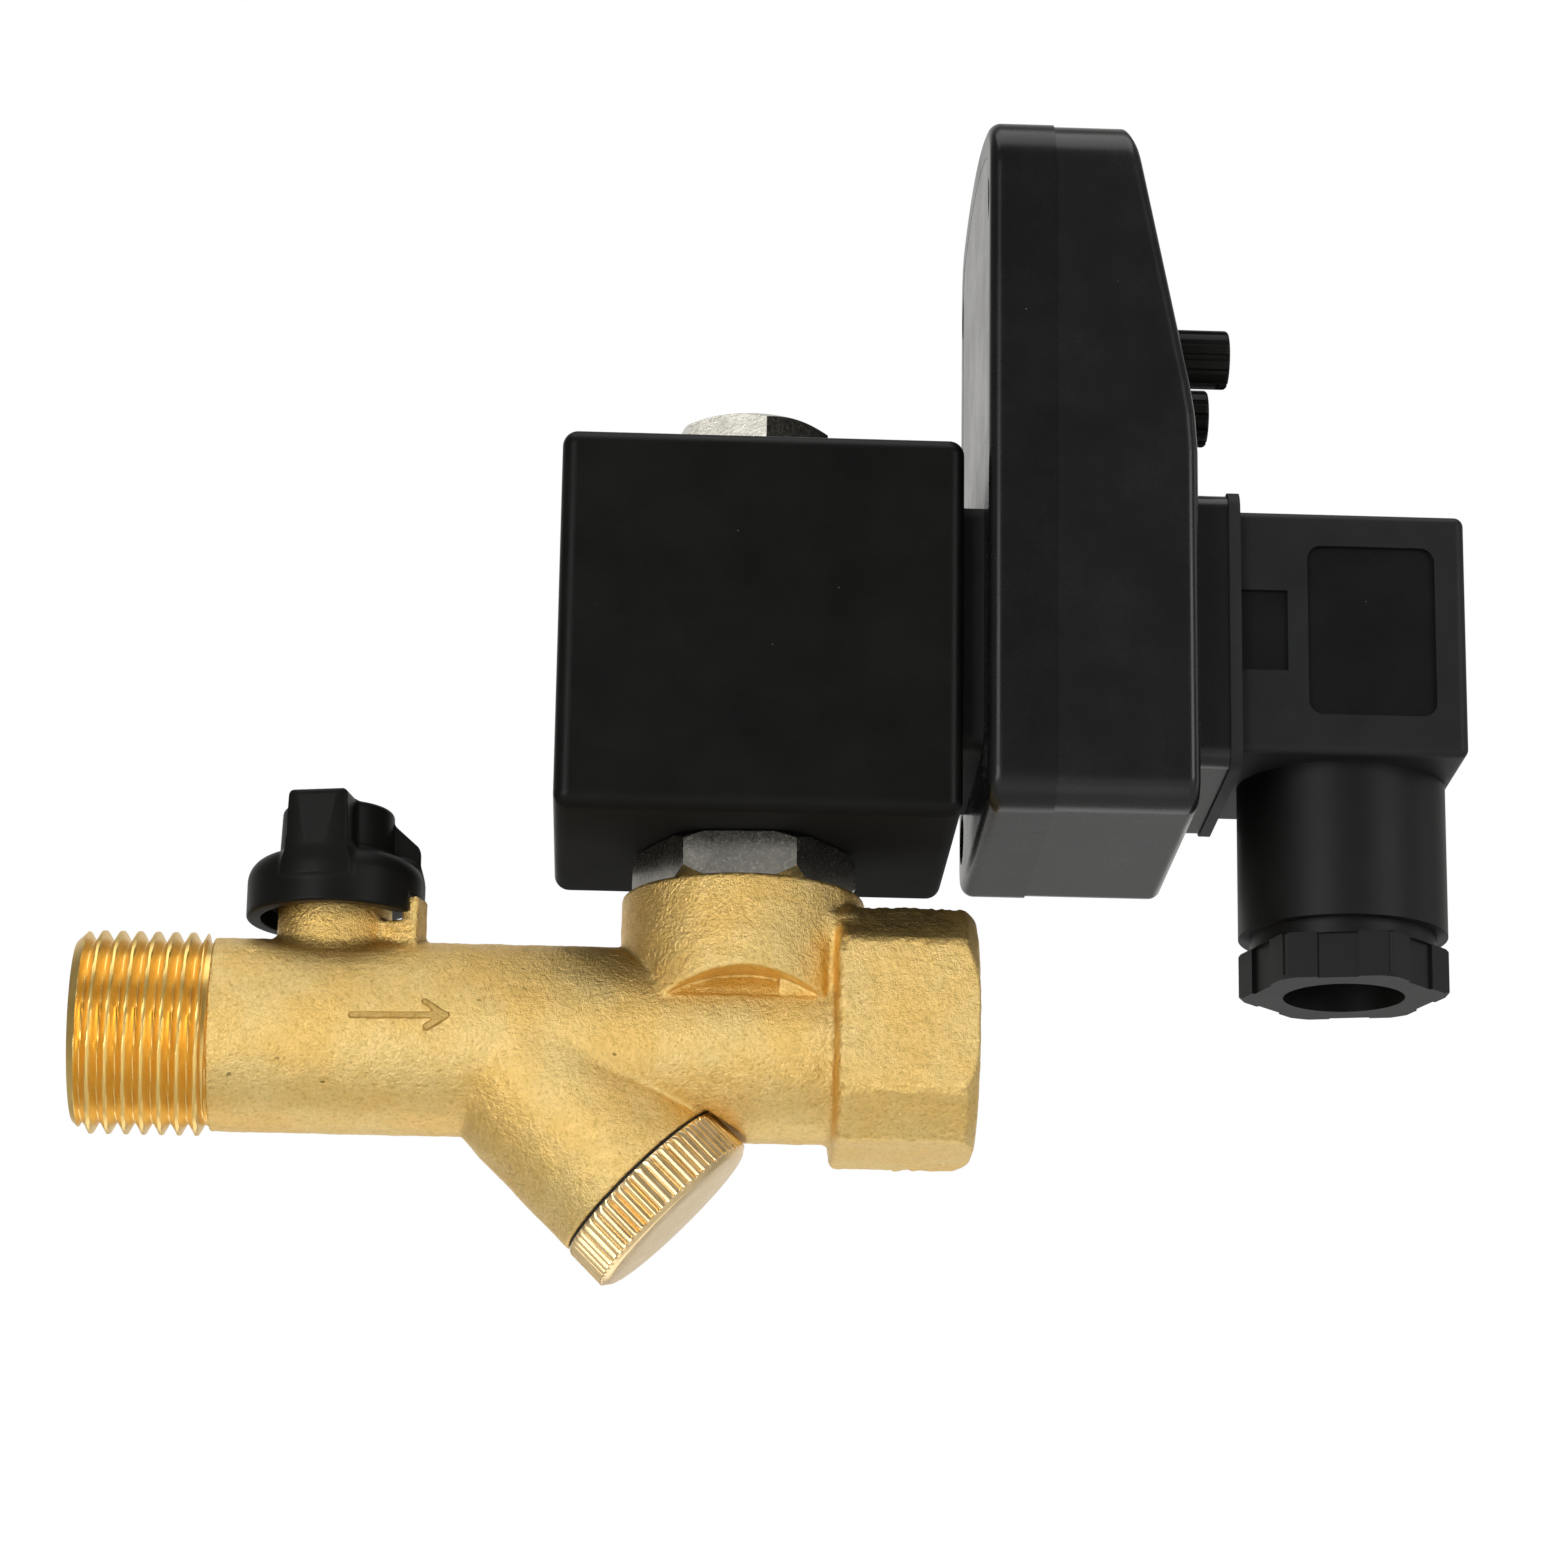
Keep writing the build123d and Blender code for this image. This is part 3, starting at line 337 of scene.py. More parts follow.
for name, o in NODES.items():
    if name in ("timer_rear_housing", "connector_housing"):
        for s in o.material_slots:
            s.material = TIMER_REAR if name == "timer_rear_housing" else CONN_BODY
        continue
    for s in o.material_slots:
        base = s.material.name.split(".")[0] if s.material else ""
        if base in SLOT_MATS:
            s.material = SLOT_MATS[base]
        else:
            print("no material for", name, base)


# ------------------------------------------------------------ mesh from arrays
def make(name, verts, faces, body, mat, smooth=True, replaces=(), weld=0.0, sharp=None, mats=None, face_mat=None):
    """verts are in millimetres in the row frame."""
    me = bpy.data.meshes.new(name)
    me.from_pydata([tuple(v) for v in np.asarray(verts, float) * MM], [], [tuple(int(i) for i in f) for f in faces])
    for m in (mats or [mat]):
        me.materials.append(m)
    if face_mat is not None:
        me.polygons.foreach_set("material_index", np.asarray(face_mat, np.int32))
    if weld or sharp:
        bm = bmesh.new()
        bm.from_mesh(me)
        if weld:
            bmesh.ops.remove_doubles(bm, verts=bm.verts, dist=weld * MM)
            bmesh.ops.dissolve_degenerate(bm, edges=bm.edges, dist=weld * MM)
        bmesh.ops.recalc_face_normals(bm, faces=bm.faces)
        if sharp:
            for e in bm.edges:
                if len(e.link_faces) == 2 and e.calc_face_angle(0) > math.radians(sharp):
                    e.smooth = False
        bm.to_mesh(me)
        bm.free()
    me.polygons.foreach_set("use_smooth", [smooth] * len(me.polygons))
    me.validate()
    me.update()
    o = bpy.data.objects.new(name, me)
    scene.collection.objects.link(o)
    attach(o, body)
    if replaces:
        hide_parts(*replaces)
    return o


def surface_nets(f, lo, hi, h):
    """Closed mesh of f < 0 in the box lo..hi; f takes an (n, 3) array in mm."""
    lo, hi = np.asarray(lo, float), np.asarray(hi, float)
    n = np.ceil((hi - lo) / h).astype(int) + 1
    ax = [(lo[i] + h * np.arange(n[i])).astype(np.float32) for i in range(3)]
    F = np.empty(tuple(n), np.float32)
    step = max(1, int(600000 / (n[1] * n[2])))
    for a in range(0, n[0], step):
        g = np.meshgrid(ax[0][a:a + step], ax[1], ax[2], indexing="ij")
        p = np.stack([q.ravel() for q in g], 1)
        F[a:a + step] = f(p).reshape(g[0].shape)
    ins = F < 0
    c = np.zeros(tuple(n - 1), np.int8)
    for dx in (0, 1):
        for dy in (0, 1):
            for dz in (0, 1):
                c += ins[dx:n[0] - 1 + dx, dy:n[1] - 1 + dy, dz:n[2] - 1 + dz]
    cells = np.argwhere((c > 0) & (c < 8))
    idx = np.full(tuple(n - 1), -1, np.int32)
    idx[cells[:, 0], cells[:, 1], cells[:, 2]] = np.arange(len(cells))
    corners = np.array([[i, j, k] for i in (0, 1) for j in (0, 1) for k in (0, 1)])
    vals = np.stack([F[cells[:, 0] + d[0], cells[:, 1] + d[1], cells[:, 2] + d[2]] for d in corners], 1)
    total, count = np.zeros((len(cells), 3)), np.zeros(len(cells))
    for a in range(8):
        for b in range(a + 1, 8):
            if np.abs(corners[a] - corners[b]).sum() != 1:
                continue
            va, vb = vals[:, a], vals[:, b]
            m = (va < 0) != (vb < 0)
            t = va[m] / (va[m] - vb[m])
            total[m] += corners[a] + t[:, None] * (corners[b] - corners[a])
            count[m] += 1
    pts = lo + h * (cells + total / count[:, None])
    faces = []
    for axis in range(3):
        s0 = [slice(1, n[i] - 1) for i in range(3)]
        s0[axis] = slice(0, n[axis] - 1)
        s1 = list(s0)
        s1[axis] = slice(1, n[axis])
        a, b = ins[tuple(s0)], ins[tuple(s1)]
        for flip, mask in ((False, a & ~b), (True, b & ~a)):
            e = np.argwhere(mask)
            if not len(e):
                continue
            base = e + np.array([0 if i == axis else 1 for i in range(3)])
            u, v = [(1, 2), (2, 0), (0, 1)][axis]
            quad = []
            for du, dv in ((-1, -1), (0, -1), (0, 0), (-1, 0)):
                q = base.copy()
                q[:, u] += du
                q[:, v] += dv
                quad.append(idx[q[:, 0], q[:, 1], q[:, 2]])
            quad = np.stack(quad, 1)
            faces.append(quad[:, ::-1] if flip else quad)
    faces = np.concatenate(faces)
    eps = h * 0.05
    for _ in range(3):
        d = f(pts.astype(np.float32)).astype(float)
        g = np.zeros_like(pts)
        for i in range(3):
            q = pts.copy()
            q[:, i] += eps
            up = f(q).astype(float)
            q[:, i] -= 2 * eps
            g[:, i] = (up - f(q)) / (2 * eps)
        g2 = np.maximum((g * g).sum(1), 0.05)
        move = -(d / g2)[:, None] * g
        ln = np.linalg.norm(move, axis=1)
        move *= np.minimum(1, 0.45 * h / np.maximum(ln, 1e-9))[:, None]
        pts = pts + move
    return pts, faces


def ru(a, b, r):
    """Union with a fillet of radius r."""
    return np.maximum(r, np.minimum(a, b)) - np.hypot(np.maximum(r - a, 0), np.maximum(r - b, 0))


def ri(a, b, r):
    """Intersection with a rounded edge of radius r."""
    return np.minimum(-r, np.maximum(a, b)) + np.hypot(np.maximum(r + a, 0), np.maximum(r + b, 0))


def box2(u, v, hu, hv, r):
    du, dv = np.abs(u) - hu + r, np.abs(v) - hv + r
    return np.hypot(np.maximum(du, 0), np.maximum(dv, 0)) + np.minimum(np.maximum(du, dv), 0) - r


def body_field(p):
    p = np.asarray(p, np.float64)
    x, y, z = p[:, 0], p[:, 1], p[:, 2]
    rx = np.hypot(y, z)
    # inlet tube
    tube = ri(rx - TUBE_R, x - 80.0, 0.5)
    tube = ri(tube, SHOULDER_X - x, 0.22)
    # branch with a domed root
    s = ((x - BX) - z) * Q
    w = ((x - BX) + z) * Q
    rs = np.hypot(w, y)
    branch = np.where(s < 0, np.sqrt(rs * rs + s * s), rs) - (9.88 + (BR_R - 9.88) * np.clip(s / 7.0, 0, 1))
    branch = ri(branch, s - BR_FACE, 0.25)
    d = ru(tube, branch, 0.02 + 0.36 * np.clip((s - 1.0) / 6.0, 0, 1))
    # the tube is spot-faced where the cap stands under it
    spot = ri(rs - (CAP_R + 0.55), BR_FACE - s, 0.15)
    spot = np.maximum(spot, s - 36)
    d = ri(d, -spot, 0.2)
    # solenoid boss, its lower rim arched at the front and the back over a pocket
    rb = np.hypot(x - SX, y)
    rim = 5.45 - 2.1 * np.square((x - SX) / 7.3)
    boss = ri(rb - BOSS_R, (rim - z) * 0.9, 0.55)
    boss = ri(boss, z - BOSS_TOP, 0.4)
    d = ru(d, boss, 0.10 + 0.40 * np.clip((z - 5.0) / 4.0, 0, 1))
    depth = 0.20 * np.clip(1.15 - np.square((x - SX) / 7.2), 0, 1)
    pocket = np.maximum(TUBE_R - depth - rx, np.maximum(z - rim - 0.25, 3.28 - z))
    pocket = np.maximum(pocket, np.abs(x - SX) - 7.6)
    d = ri(d, -pocket, 0.12)
    # neck and octagon
    neck = ri(np.abs(y) - 9.3, z - 12.4, 0.8)
    neck = np.maximum(neck, np.maximum(72.0 - x, x - 79.5))
    neck = np.maximum(neck, -z)
    d = ru(d, neck, 0.05 + 0.75 * np.clip((z - 6.0) / 4.0, 0, 1))
    ay, az = np.abs(y), np.abs(z - OZ)
    octo = ri(ri(ay - O_HALF, az - O_HALF, 0.4), (ay + az) * Q - (O_HALF + O_FLAT) * Q, 0.32)
    ro = np.hypot(y, z - OZ)
    octo = ri(octo, (x - OX1) * 0.79 + (ro - 12.5) * 0.612, 0.2)
    octo = ri(octo, (OX0 - x) * 0.62 + (ro - 14.1) * 0.785, 0.5)
    octo = ri(octo, OX0 - 0.15 - x, 0.75)
    octo = ri(octo, x - OX1, 0.3)
    d = ru(d, octo, 1.05)
    # stem collar and stop lug
    rh = np.hypot(x - HX, y)
    collar = ri(rh - 5.9, z - 13.8, 0.35)
    collar = np.maximum(collar, -z)
    d = ru(d, collar, 0.9)
    ca, sa = math.cos(math.radians(-21)), math.sin(math.radians(-21))
    u, v = (x - HX) * ca + y * sa, -(x - HX) * sa + y * ca
    lug = np.maximum(box2(u - 7.42, v, 2.42, 1.55, 0.35), np.maximum(z - 11.7, 8.0 - z))
    post = ri(box2(u - 8.97, v, 0.88, 1.45, 0.3), z - 14.05, 0.25)
    post = np.maximum(post, 8.0 - z)
    d = ru(d, np.minimum(lug, post), 0.5)
    # passages
    def cut(d, c, r=0.0):
        return ri(d, -c, r) if r else np.maximum(d, -c)
    d = cut(d, np.maximum(rx - 7.7, x - 34.02))
    d = cut(d, np.maximum(np.hypot(y, z - 1.4) - 3.0, np.maximum(33.0 - x, x - 44.5)))
    d = cut(d, np.maximum(rs - 6.8, -3.0 - s))
    d = cut(d, np.maximum(rs - 8.3, 14.2 - s), 0.15)
    d = cut(d, np.maximum(np.hypot(y, z - 6.3) - 2.3, np.maximum(46.4 - x, x - SX)))
    cham = np.maximum(rb - 7.3, np.maximum(4.0 - z, z - 9.0))
    cham = np.maximum(cham, -np.maximum(rb - 3.4, z - 6.0))
    d = cut(d, cham)
    d = cut(d, np.maximum(rb - 9.2, 8.95 - z))
    d = cut(d, np.maximum(rb - 10.7, 13.9 - z), 0.2)
    d = cut(d, np.maximum(rb - 2.0, np.maximum(-1.0 - z, z - 7.0)))
    d = cut(d, np.maximum(np.hypot(y, z + 1.0) - 3.5, np.maximum(SX - 2.6 - x, x - 81.5)))
    ocone = np.maximum(ro - np.clip(4.6 + (x - 80.2) * 4.3, 4.6, 10.62), 80.2 - x)
    d = cut(d, ocone)
    d = cut(d, (ro - 10.62) * 0.8 - (x - 91.9) * 0.55, 0.1)
    stem = np.maximum(rh - 3.05, -z)
    stem = np.minimum(stem, np.maximum(rh - 3.5, np.maximum(-z, z - 8.6)))
    d = cut(d, stem)
    return d


def waves(p, scale, seed, n=7):
    """Smooth pseudo-random field of about unit size; scale is the wavelength in mm."""
    g = np.random.default_rng(seed)
    k = g.normal(size=(n, 3))
    k *= (2 * np.pi / scale) * g.uniform(0.7, 1.35, (n, 1)) / np.linalg.norm(k, axis=1, keepdims=True)
    return np.sin(p @ k.T + g.uniform(0, 2 * np.pi, n)).sum(1) / math.sqrt(n / 2)


def normals_of(f, pts, eps):
    g = np.zeros_like(pts)
    for i in range(3):
        q = pts.copy()
        q[:, i] += eps
        up = f(q).astype(float)
        q[:, i] -= 2 * eps
        g[:, i] = up - f(q)
    return g / np.maximum(np.linalg.norm(g, axis=1, keepdims=True), 1e-9)


def build_body():
    h = 0.28
    pts, faces = surface_nets(body_field, (13.3, -13.6, -23.0), (93.3, 13.6, 16.2), h)
    # forging skin: a slow unevenness, and worn, dented edges on the octagon
    n = normals_of(body_field, pts, 0.08)
    x, y, z = pts.T
    ay, az = np.abs(y), np.abs(z - OZ)
    rx = np.hypot(y, z)
    outside = (rx > 9.3) & (x > SHOULDER_X + 0.4) & (x < OX1 - 0.2)
    s = ((x - BX) - z) * Q
    rs = np.hypot(((x - BX) + z) * Q, y)
    outside &= ~((s > BR_FACE - 0.5) & (rs < BR_R + 0.4))
    rb = np.hypot(x - SX, y)
    outside &= ~((z > 12.5) & (rb < BOSS_R + 1)) & ~((z > 11) & (np.hypot(x - HX, y) < 9))
    skin = 0.018 * waves(pts, 3.2, 11) + 0.012 * waves(pts, 1.3, 12) + 0.007 * waves(pts, 0.75, 17)
    prism = (x > OX0 - 0.3) & (x < OX1 + 0.1)
    e1 = np.hypot(ay - O_HALF, az - O_FLAT)
    e2 = np.hypot(az - O_HALF, ay - O_FLAT)
    e = np.minimum(e1, e2)
    front = np.hypot(np.maximum(O_HALF - ay, 0), x - OX0 - 0.3)
    wear = np.where(prism, np.exp(-np.square(e / 0.55)) + 0.8 * np.exp(-np.square(front / 0.6)) * (az < 8.2), 0)
    dent = np.maximum(0, waves(pts, 1.7, 13, 9) - 0.25) * 0.13 + 0.05 * waves(pts, 0.9, 14)
    move = np.where(outside | prism & (rx > 11.5), skin, 0) - wear * dent
    pts = pts + n * move[:, None]
    return make("valve_body_forging", pts, faces, "valve", BRASS, replaces=["valve_body"])


body = build_body()


# ------------------------------------------------------------------- threads
def thread_mesh(name, x_lo, x_hi, crest0, limit, other_r, z0, body, mat, female):
    """A tube with a helical surface on one side and a plain one on the other."""
    nth, nx = 180, int((x_hi - x_lo) / 0.12)
    xs = np.linspace(x_lo, x_hi, nx + 1)
    th = 2 * np.pi * np.arange(nth) / nth
    X, T = np.meshgrid(xs, th, indexing="ij")
    # the radius follows the helix phase at each column of a fixed grid
    grid_p = PITCH / round(PITCH / (xs[1] - xs[0]))
    ph = (X - crest0 - PITCH * T / (2 * np.pi)) / PITCH
    u = (ph - np.round(ph)) * PITCH
    k = np.clip((np.abs(u) - LAND / 2) / (PITCH / 2 - LAND / 2 - 0.08), 0, 1)
    R = R_MINOR + (R_MAJOR - R_MINOR) * (k if female else 1 - k)
    R = limit(X, R)
    verts = [np.stack([X, -R * np.cos(T), z0 + R * np.sin(T)], -1).reshape(-1, 3)]
    faces = []
    for j in range(nx):
        for i in range(nth):
            i2 = (i + 1) % nth
            faces.append((j * nth + i, j * nth + i2, (j + 1) * nth + i2, (j + 1) * nth + i))
    base = (nx + 1) * nth
    O = np.zeros((2, nth, 3))
    for e, x in enumerate((x_lo, x_hi)):
        O[e] = np.stack([np.full(nth, x), -other_r * np.cos(th), z0 + other_r * np.sin(th)], -1)
    verts.append(O.reshape(-1, 3))
    for i in range(nth):
        i2 = (i + 1) % nth
        faces.append((i2, i, base + i, base + i2))
        faces.append((nx * nth + i, nx * nth + i2, base + nth + i2, base + nth + i))
        faces.append((base + i2, base + i, base + nth + i, base + nth + i2))
    if female:
        faces = [f[::-1] for f in faces]
    return make(name, np.concatenate(verts), faces, body, mat, sharp=34)


def inlet_limit(X, R):
    R = np.minimum(R, 9.35 + X * (0.7 / 0.75) * 1.0)
    R = np.where(X > 13.45, np.minimum(R, 9.45), R)
    return R


def outlet_limit(X, R):
    R = np.where(X > 91.3, np.maximum(R, 9.3155 + (X - 91.3) * 1.25), R)
    return np.where(X < 81.9, np.maximum(R, 9.33), R)


thread_mesh("inlet_thread", 0.0, SHOULDER_X + 0.05, IN_CREST0, inlet_limit, 7.7, 0.0, "valve", THREAD_BRASS, False)
thread_mesh("outlet_thread", 81.1, 92.3, 81.9, outlet_limit, 10.66, OZ, "valve", THREAD_BRASS, True)


# ---------------------------------------------------------------- flow arrow
def arrow():
    nx, nz = 150, 64
    xs, zs = np.linspace(27.4, 39.4, nx), np.linspace(-2.5, 3.1, nz)
    X, Z = np.meshgrid(xs, zs, indexing="ij")
    def seg(ax, az, bx, bz, r):
        px, pz, qx, qz = X - ax, Z - az, bx - ax, bz - az
        t = np.clip((px * qx + pz * qz) / (qx * qx + qz * qz), 0, 1)
        return np.hypot(px - t * qx, pz - t * qz) - r
    d = np.minimum(seg(28.75, 0.12, 37.2, 0.28, 0.33), np.minimum(seg(38.25, 0.30, 36.1, 1.72, 0.30), seg(38.25, 0.30, 36.35, -0.95, 0.36)))
    d = np.minimum(d, seg(37.9, 0.3, 37.0, 0.28, 0.5))
    k = np.clip(0.5 - d / 0.28, 0, 1)
    k = k * k * (3 - 2 * k)
    R = 9.90 + 0.33 * k
    Y = -np.sqrt(np.maximum(R * R - Z * Z, 0))
    top = np.stack([X, Y, Z], -1).reshape(-1, 3)
    R0 = 9.5
    Yb = -np.sqrt(R0 * R0 - Z * Z)
    back = np.stack([X, Yb, Z], -1).reshape(-1, 3)
    n = nx * nz
    faces = []
    for i in range(nx - 1):
        for j in range(nz - 1):
            a = i * nz + j
            faces.append((a, a + nz, a + nz + 1, a + 1))
            faces.append((n + a, n + a + 1, n + a + nz + 1, n + a + nz))
    ring = [i * nz for i in range(nx)] + [(nx - 1) * nz + j for j in range(1, nz)] + [i * nz + nz - 1 for i in range(nx - 2, -1, -1)] + [j for j in range(nz - 2, 0, -1)]
    for a, b in zip(ring, ring[1:] + ring[:1]):
        faces.append((b, a, n + a, n + b))
    return make("flow_arrow", np.concatenate([top, back]), faces, "valve", ARROW_BRASS, weld=1e-5)


arrow()


# ----------------------------------------------------------------- lathe work
def lathe(name, profile, origin, axis, ref, n, body, mat, replaces=(), radius=None, sharp=30, mats=None, seg_mat=None):
    """profile is (along, radius) from one axis end to the other; radius(theta, along, r, index) may change it."""
    a = np.array(axis, float) / np.linalg.norm(axis)
    e1 = np.array(ref, float)
    e2 = np.cross(a, e1)
    th = 2 * np.pi * np.arange(n) / n
    verts, rings = [], []
    for j, (s, r) in enumerate(profile):
        if r < 1e-6:
            rings.append([len(verts)] * n)
            verts.append(np.array(origin) + a * s)
            continue
        rr = radius(th, s, r, j) if radius else np.full(n, r)
        start = len(verts)
        for t, q in zip(th, rr):
            verts.append(np.array(origin) + a * s + q * (math.cos(t) * e1 + math.sin(t) * e2))
        rings.append(list(range(start, start + n)))
    faces, fm = [], []
    for j in range(len(rings) - 1):
        A, B = rings[j], rings[j + 1]
        for i in range(n):
            k = (i + 1) % n
            f = [A[i], A[k], B[k], B[i]]
            f = [v for q, v in enumerate(f) if v not in f[:q]]
            if len(f) > 2:
                faces.append(tuple(f))
                fm.append(seg_mat[j] if seg_mat else 0)
    return make(name, np.array(verts), faces, body, mat, replaces=replaces, sharp=sharp, mats=mats, face_mat=fm if seg_mat else None)


def scale_marks():
    """Moulded ticks round both knobs and the words ON and OFF above them, on the sloping face of the timer."""
    k = 0.19691
    n = np.array([1.0, 0.0, k]) / math.hypot(1.0, k)
    up = np.array([-k, 0.0, 1.0]) / math.hypot(1.0, k)
    across = np.array([0.0, 1.0, 0.0])
    verts, faces = [], []

    def stroke(p, q, w, high=0.14):
        p, q = np.array(p, float), np.array(q, float)
        d = (q - p) / np.linalg.norm(q - p)
        e = np.array([-d[1], d[0]])
        base = len(verts)
        for lift, grow in ((-0.25, 0.0), (high, -0.05)):
            for a, b in ((p, -1), (q, -1), (q, 1), (p, 1)):
                end = -1 if a is p else 1
                c = a + e * b * (w / 2 + grow) + d * end * grow
                o = np.array([113.4 - k * (73.8 - 67.0), 0.0, 73.8])
                verts.append(o + across * c[0] + up * c[1] + n * lift)
        for f in ((0, 3, 2, 1), (4, 5, 6, 7), (0, 1, 5, 4), (1, 2, 6, 5), (2, 3, 7, 6), (3, 0, 4, 7)):
            faces.append([base + i for i in f])

    for y in (-9.0, 9.0):
        for i in range(11):
            a = math.radians(225 - 27 * i)
            r1 = 5.1 if i % 5 == 0 else 4.7
            c, m = math.cos(a), math.sin(a)
            stroke((y + 3.95 * c, 3.95 * m), (y + r1 * c, r1 * m), 0.26)
    letters = {
        "O": [((0.1, 0.25), (0.1, 1.35)), ((0.1, 1.35), (0.3, 1.6)), ((0.3, 1.6), (0.8, 1.6)), ((0.8, 1.6), (1.0, 1.35)),
              ((1.0, 1.35), (1.0, 0.25)), ((1.0, 0.25), (0.8, 0.0)), ((0.8, 0.0), (0.3, 0.0)), ((0.3, 0.0), (0.1, 0.25))],
        "N": [((0.1, 0.0), (0.1, 1.6)), ((0.1, 1.6), (1.0, 0.0)), ((1.0, 0.0), (1.0, 1.6))],
        "F": [((0.1, 0.0), (0.1, 1.6)), ((0.1, 1.6), (0.95, 1.6)), ((0.1, 0.85), (0.8, 0.85))],
    }
    for word, y in (("ON", -9.0), ("OFF", 9.0)):
        x = y - 0.75 * len(word)
        for ch in word:
            for p, q in letters[ch]:
                stroke((x + p[0], 6.5 + p[1]), (x + q[0], 6.5 + q[1]), 0.24)
            x += 1.5
    return make("timer_scale_marks", verts, faces, "coil_head", TIMER_BLACK, smooth=False)


def cap_radius(th, s, r, j):
    """Straight knurl of uneven ridges that fades into plain rims."""
    if r < CAP_R - 0.5 or not (CAP_S0 - 0.1 < s < CAP_S1 - 0.05):
        return np.full(len(th), r)
    edge = min(1.0, max(0.0, (s - CAP_S0 + 0.12) / 0.3), (CAP_S1 - 0.42 - s) / 0.3)
    drift = 0.10 * np.sin(5 * th + 0.6) + 0.07 * np.sin(13 * th)
    ridge = np.abs(np.sin(31 * th + drift)) ** 0.75
    deep = 0.36 + 0.10 * np.sin(9 * th + 1.0) + 0.08 * np.sin(23 * th)
    return r - deep * (1 - ridge) * max(0.0, edge) ** 0.6


cap_prof = [(CAP_S1, 0), (CAP_S1, 5.0), (CAP_S1, 9.30), (CAP_S1 - 0.10, 9.62), (CAP_S1 - 0.30, 9.86), (CAP_S1 - 0.42, 10.02)]
cap_prof += [(CAP_S1 - 0.55 - 0.1 * i, CAP_R) for i in range(4)]
cap_prof += [(s, CAP_R) for s in np.linspace(CAP_S1 - 1.2, CAP_S0 + 0.9, 7)]
cap_prof += [(CAP_S0 + 0.5, CAP_R), (CAP_S0 + 0.15, CAP_R), (CAP_S0 - 0.05, CAP_R - 0.06), (CAP_S0 - 0.24, 10.09), (CAP_S0 - 0.25, 9.93), (CAP_S0, 9.93), (CAP_S0, 8.22)]
for k in range(3):
    cap_prof += [(16.6 + 1.5 * (2 - k) + 0.0, 8.22), (16.6 + 1.5 * (2 - k), 7.75), (15.9 + 1.5 * (2 - k), 7.75), (15.9 + 1.5 * (2 - k), 8.22)]
cap_prof += [(15.2, 8.22), (15.0, 8.05), (15.0, 5.68), (18.0, 5.68), (18.0, 4.6), (21.5, 4.6), (21.5, 0)]
lathe("strainer_cap_knurled", cap_prof, (BX, 0, 0), (Q, 0, -Q), (0, 1, 0), 1240, "strainer_plug", CAP_BRASS, replaces=["strainer_cap"], radius=cap_radius, sharp=40)


# --------------------------------------------------------------------- handle
def handle_field(p):
    p = np.asarray(p, np.float64)
    x, y, z = p[:, 0] - HX, p[:, 1], p[:, 2]
    r = np.hypot(x, y)
    disc = ri(r - 9.2, z - 18.6, 2.6)
    disc = ri(disc, 12.3 - z, 0.3)
    a = math.radians(-12)
    u, v = x * math.cos(a) + y * math.sin(a), -x * math.sin(a) + y * math.cos(a)
    # u across the wings, v along them; the grip narrows a little upwards
    taper = (z - 18.6) * 0.035
    wing = ri(box2(u, v, 3.3, 9.1, 0.7) + taper, z - 24.3, 0.6)
    wing = np.maximum(wing, 15.5 - z)
    hub = ri(r - 6.0 + taper, z - 24.05, 0.6)
    hub = np.maximum(hub, 15.5 - z)
    grip = ru(wing, hub, 0.35)
    fin = ri(np.abs(y) - 0.9, (x - 5.8) * 0.666 + (z - 22.7) * 0.746, 0.3)
    fin = ri(fin, z - 22.9, 0.3)
    fin = ri(fin, x - 8.7, 0.4)
    fin = np.maximum(fin, np.maximum(-x, 15.5 - z))
    grip = ru(grip, fin, 0.3)
    grip = np.maximum(grip, r - 9.15)
    d = ru(disc, grip, 0.9)
    d = np.maximum(d, -np.maximum(r - 7.75, z - 14.4))
    a0, a1 = math.radians(-21 - 10.6), math.radians(-21 + 10 + 90.6)
    mid, half = (a0 + a1) / 2, (a1 - a0) / 2
    ang = np.arctan2(y, x) - mid
    ang = (ang + np.pi) % (2 * np.pi) - np.pi
    arc = (np.abs(ang) - half) * np.maximum(r, 1e-6)
    d = ri(d, -np.maximum(np.maximum(arc, z - 14.4), 6.0 - r), 0.2)
    d = np.maximum(d, -np.maximum(np.maximum(np.abs(x) - 2.15, np.abs(y) - 2.15), z - 17.9))
    d = np.maximum(d, -(r - 1.7))
    d = ri(d, -np.maximum(r - 3.2, 19.6 - z), 0.25)
    return d


pts, faces = surface_nets(handle_field, (HX - 9.9, -9.9, 11.8), (HX + 9.9, 9.9, 24.9), 0.19)
make("valve_handle_moulding", pts, faces, "shutoff", HANDLE_BLACK, replaces=["valve_handle"])
scale_marks()

# ------------------------------------------------------------- camera, lights
cam_data = bpy.data.cameras.new("camera")
cam = bpy.data.objects.new("camera", cam_data)
scene.collection.objects.link(cam)
cam_data.lens, cam_data.sensor_width = 112.07, 36.0
cam_data.clip_start, cam_data.clip_end = 0.01, 20
th, ps, ro = math.radians(15.968), math.radians(1.982), math.radians(0.888)
w = Vector((math.sin(ps) * math.cos(th), math.cos(ps) * math.cos(th), math.sin(th)))
r = Vector((math.cos(ps), -math.sin(ps), 0))
u = r.cross(w)
r2, u2 = math.cos(ro) * r + math.sin(ro) * u, -math.sin(ro) * r + math.cos(ro) * u
m = Matrix((r2, u2, -w)).transposed().to_4x4()
m.translation = Vector((0.05507, -0.49013, -0.11141))
cam.matrix_world = m
scene.camera = cam

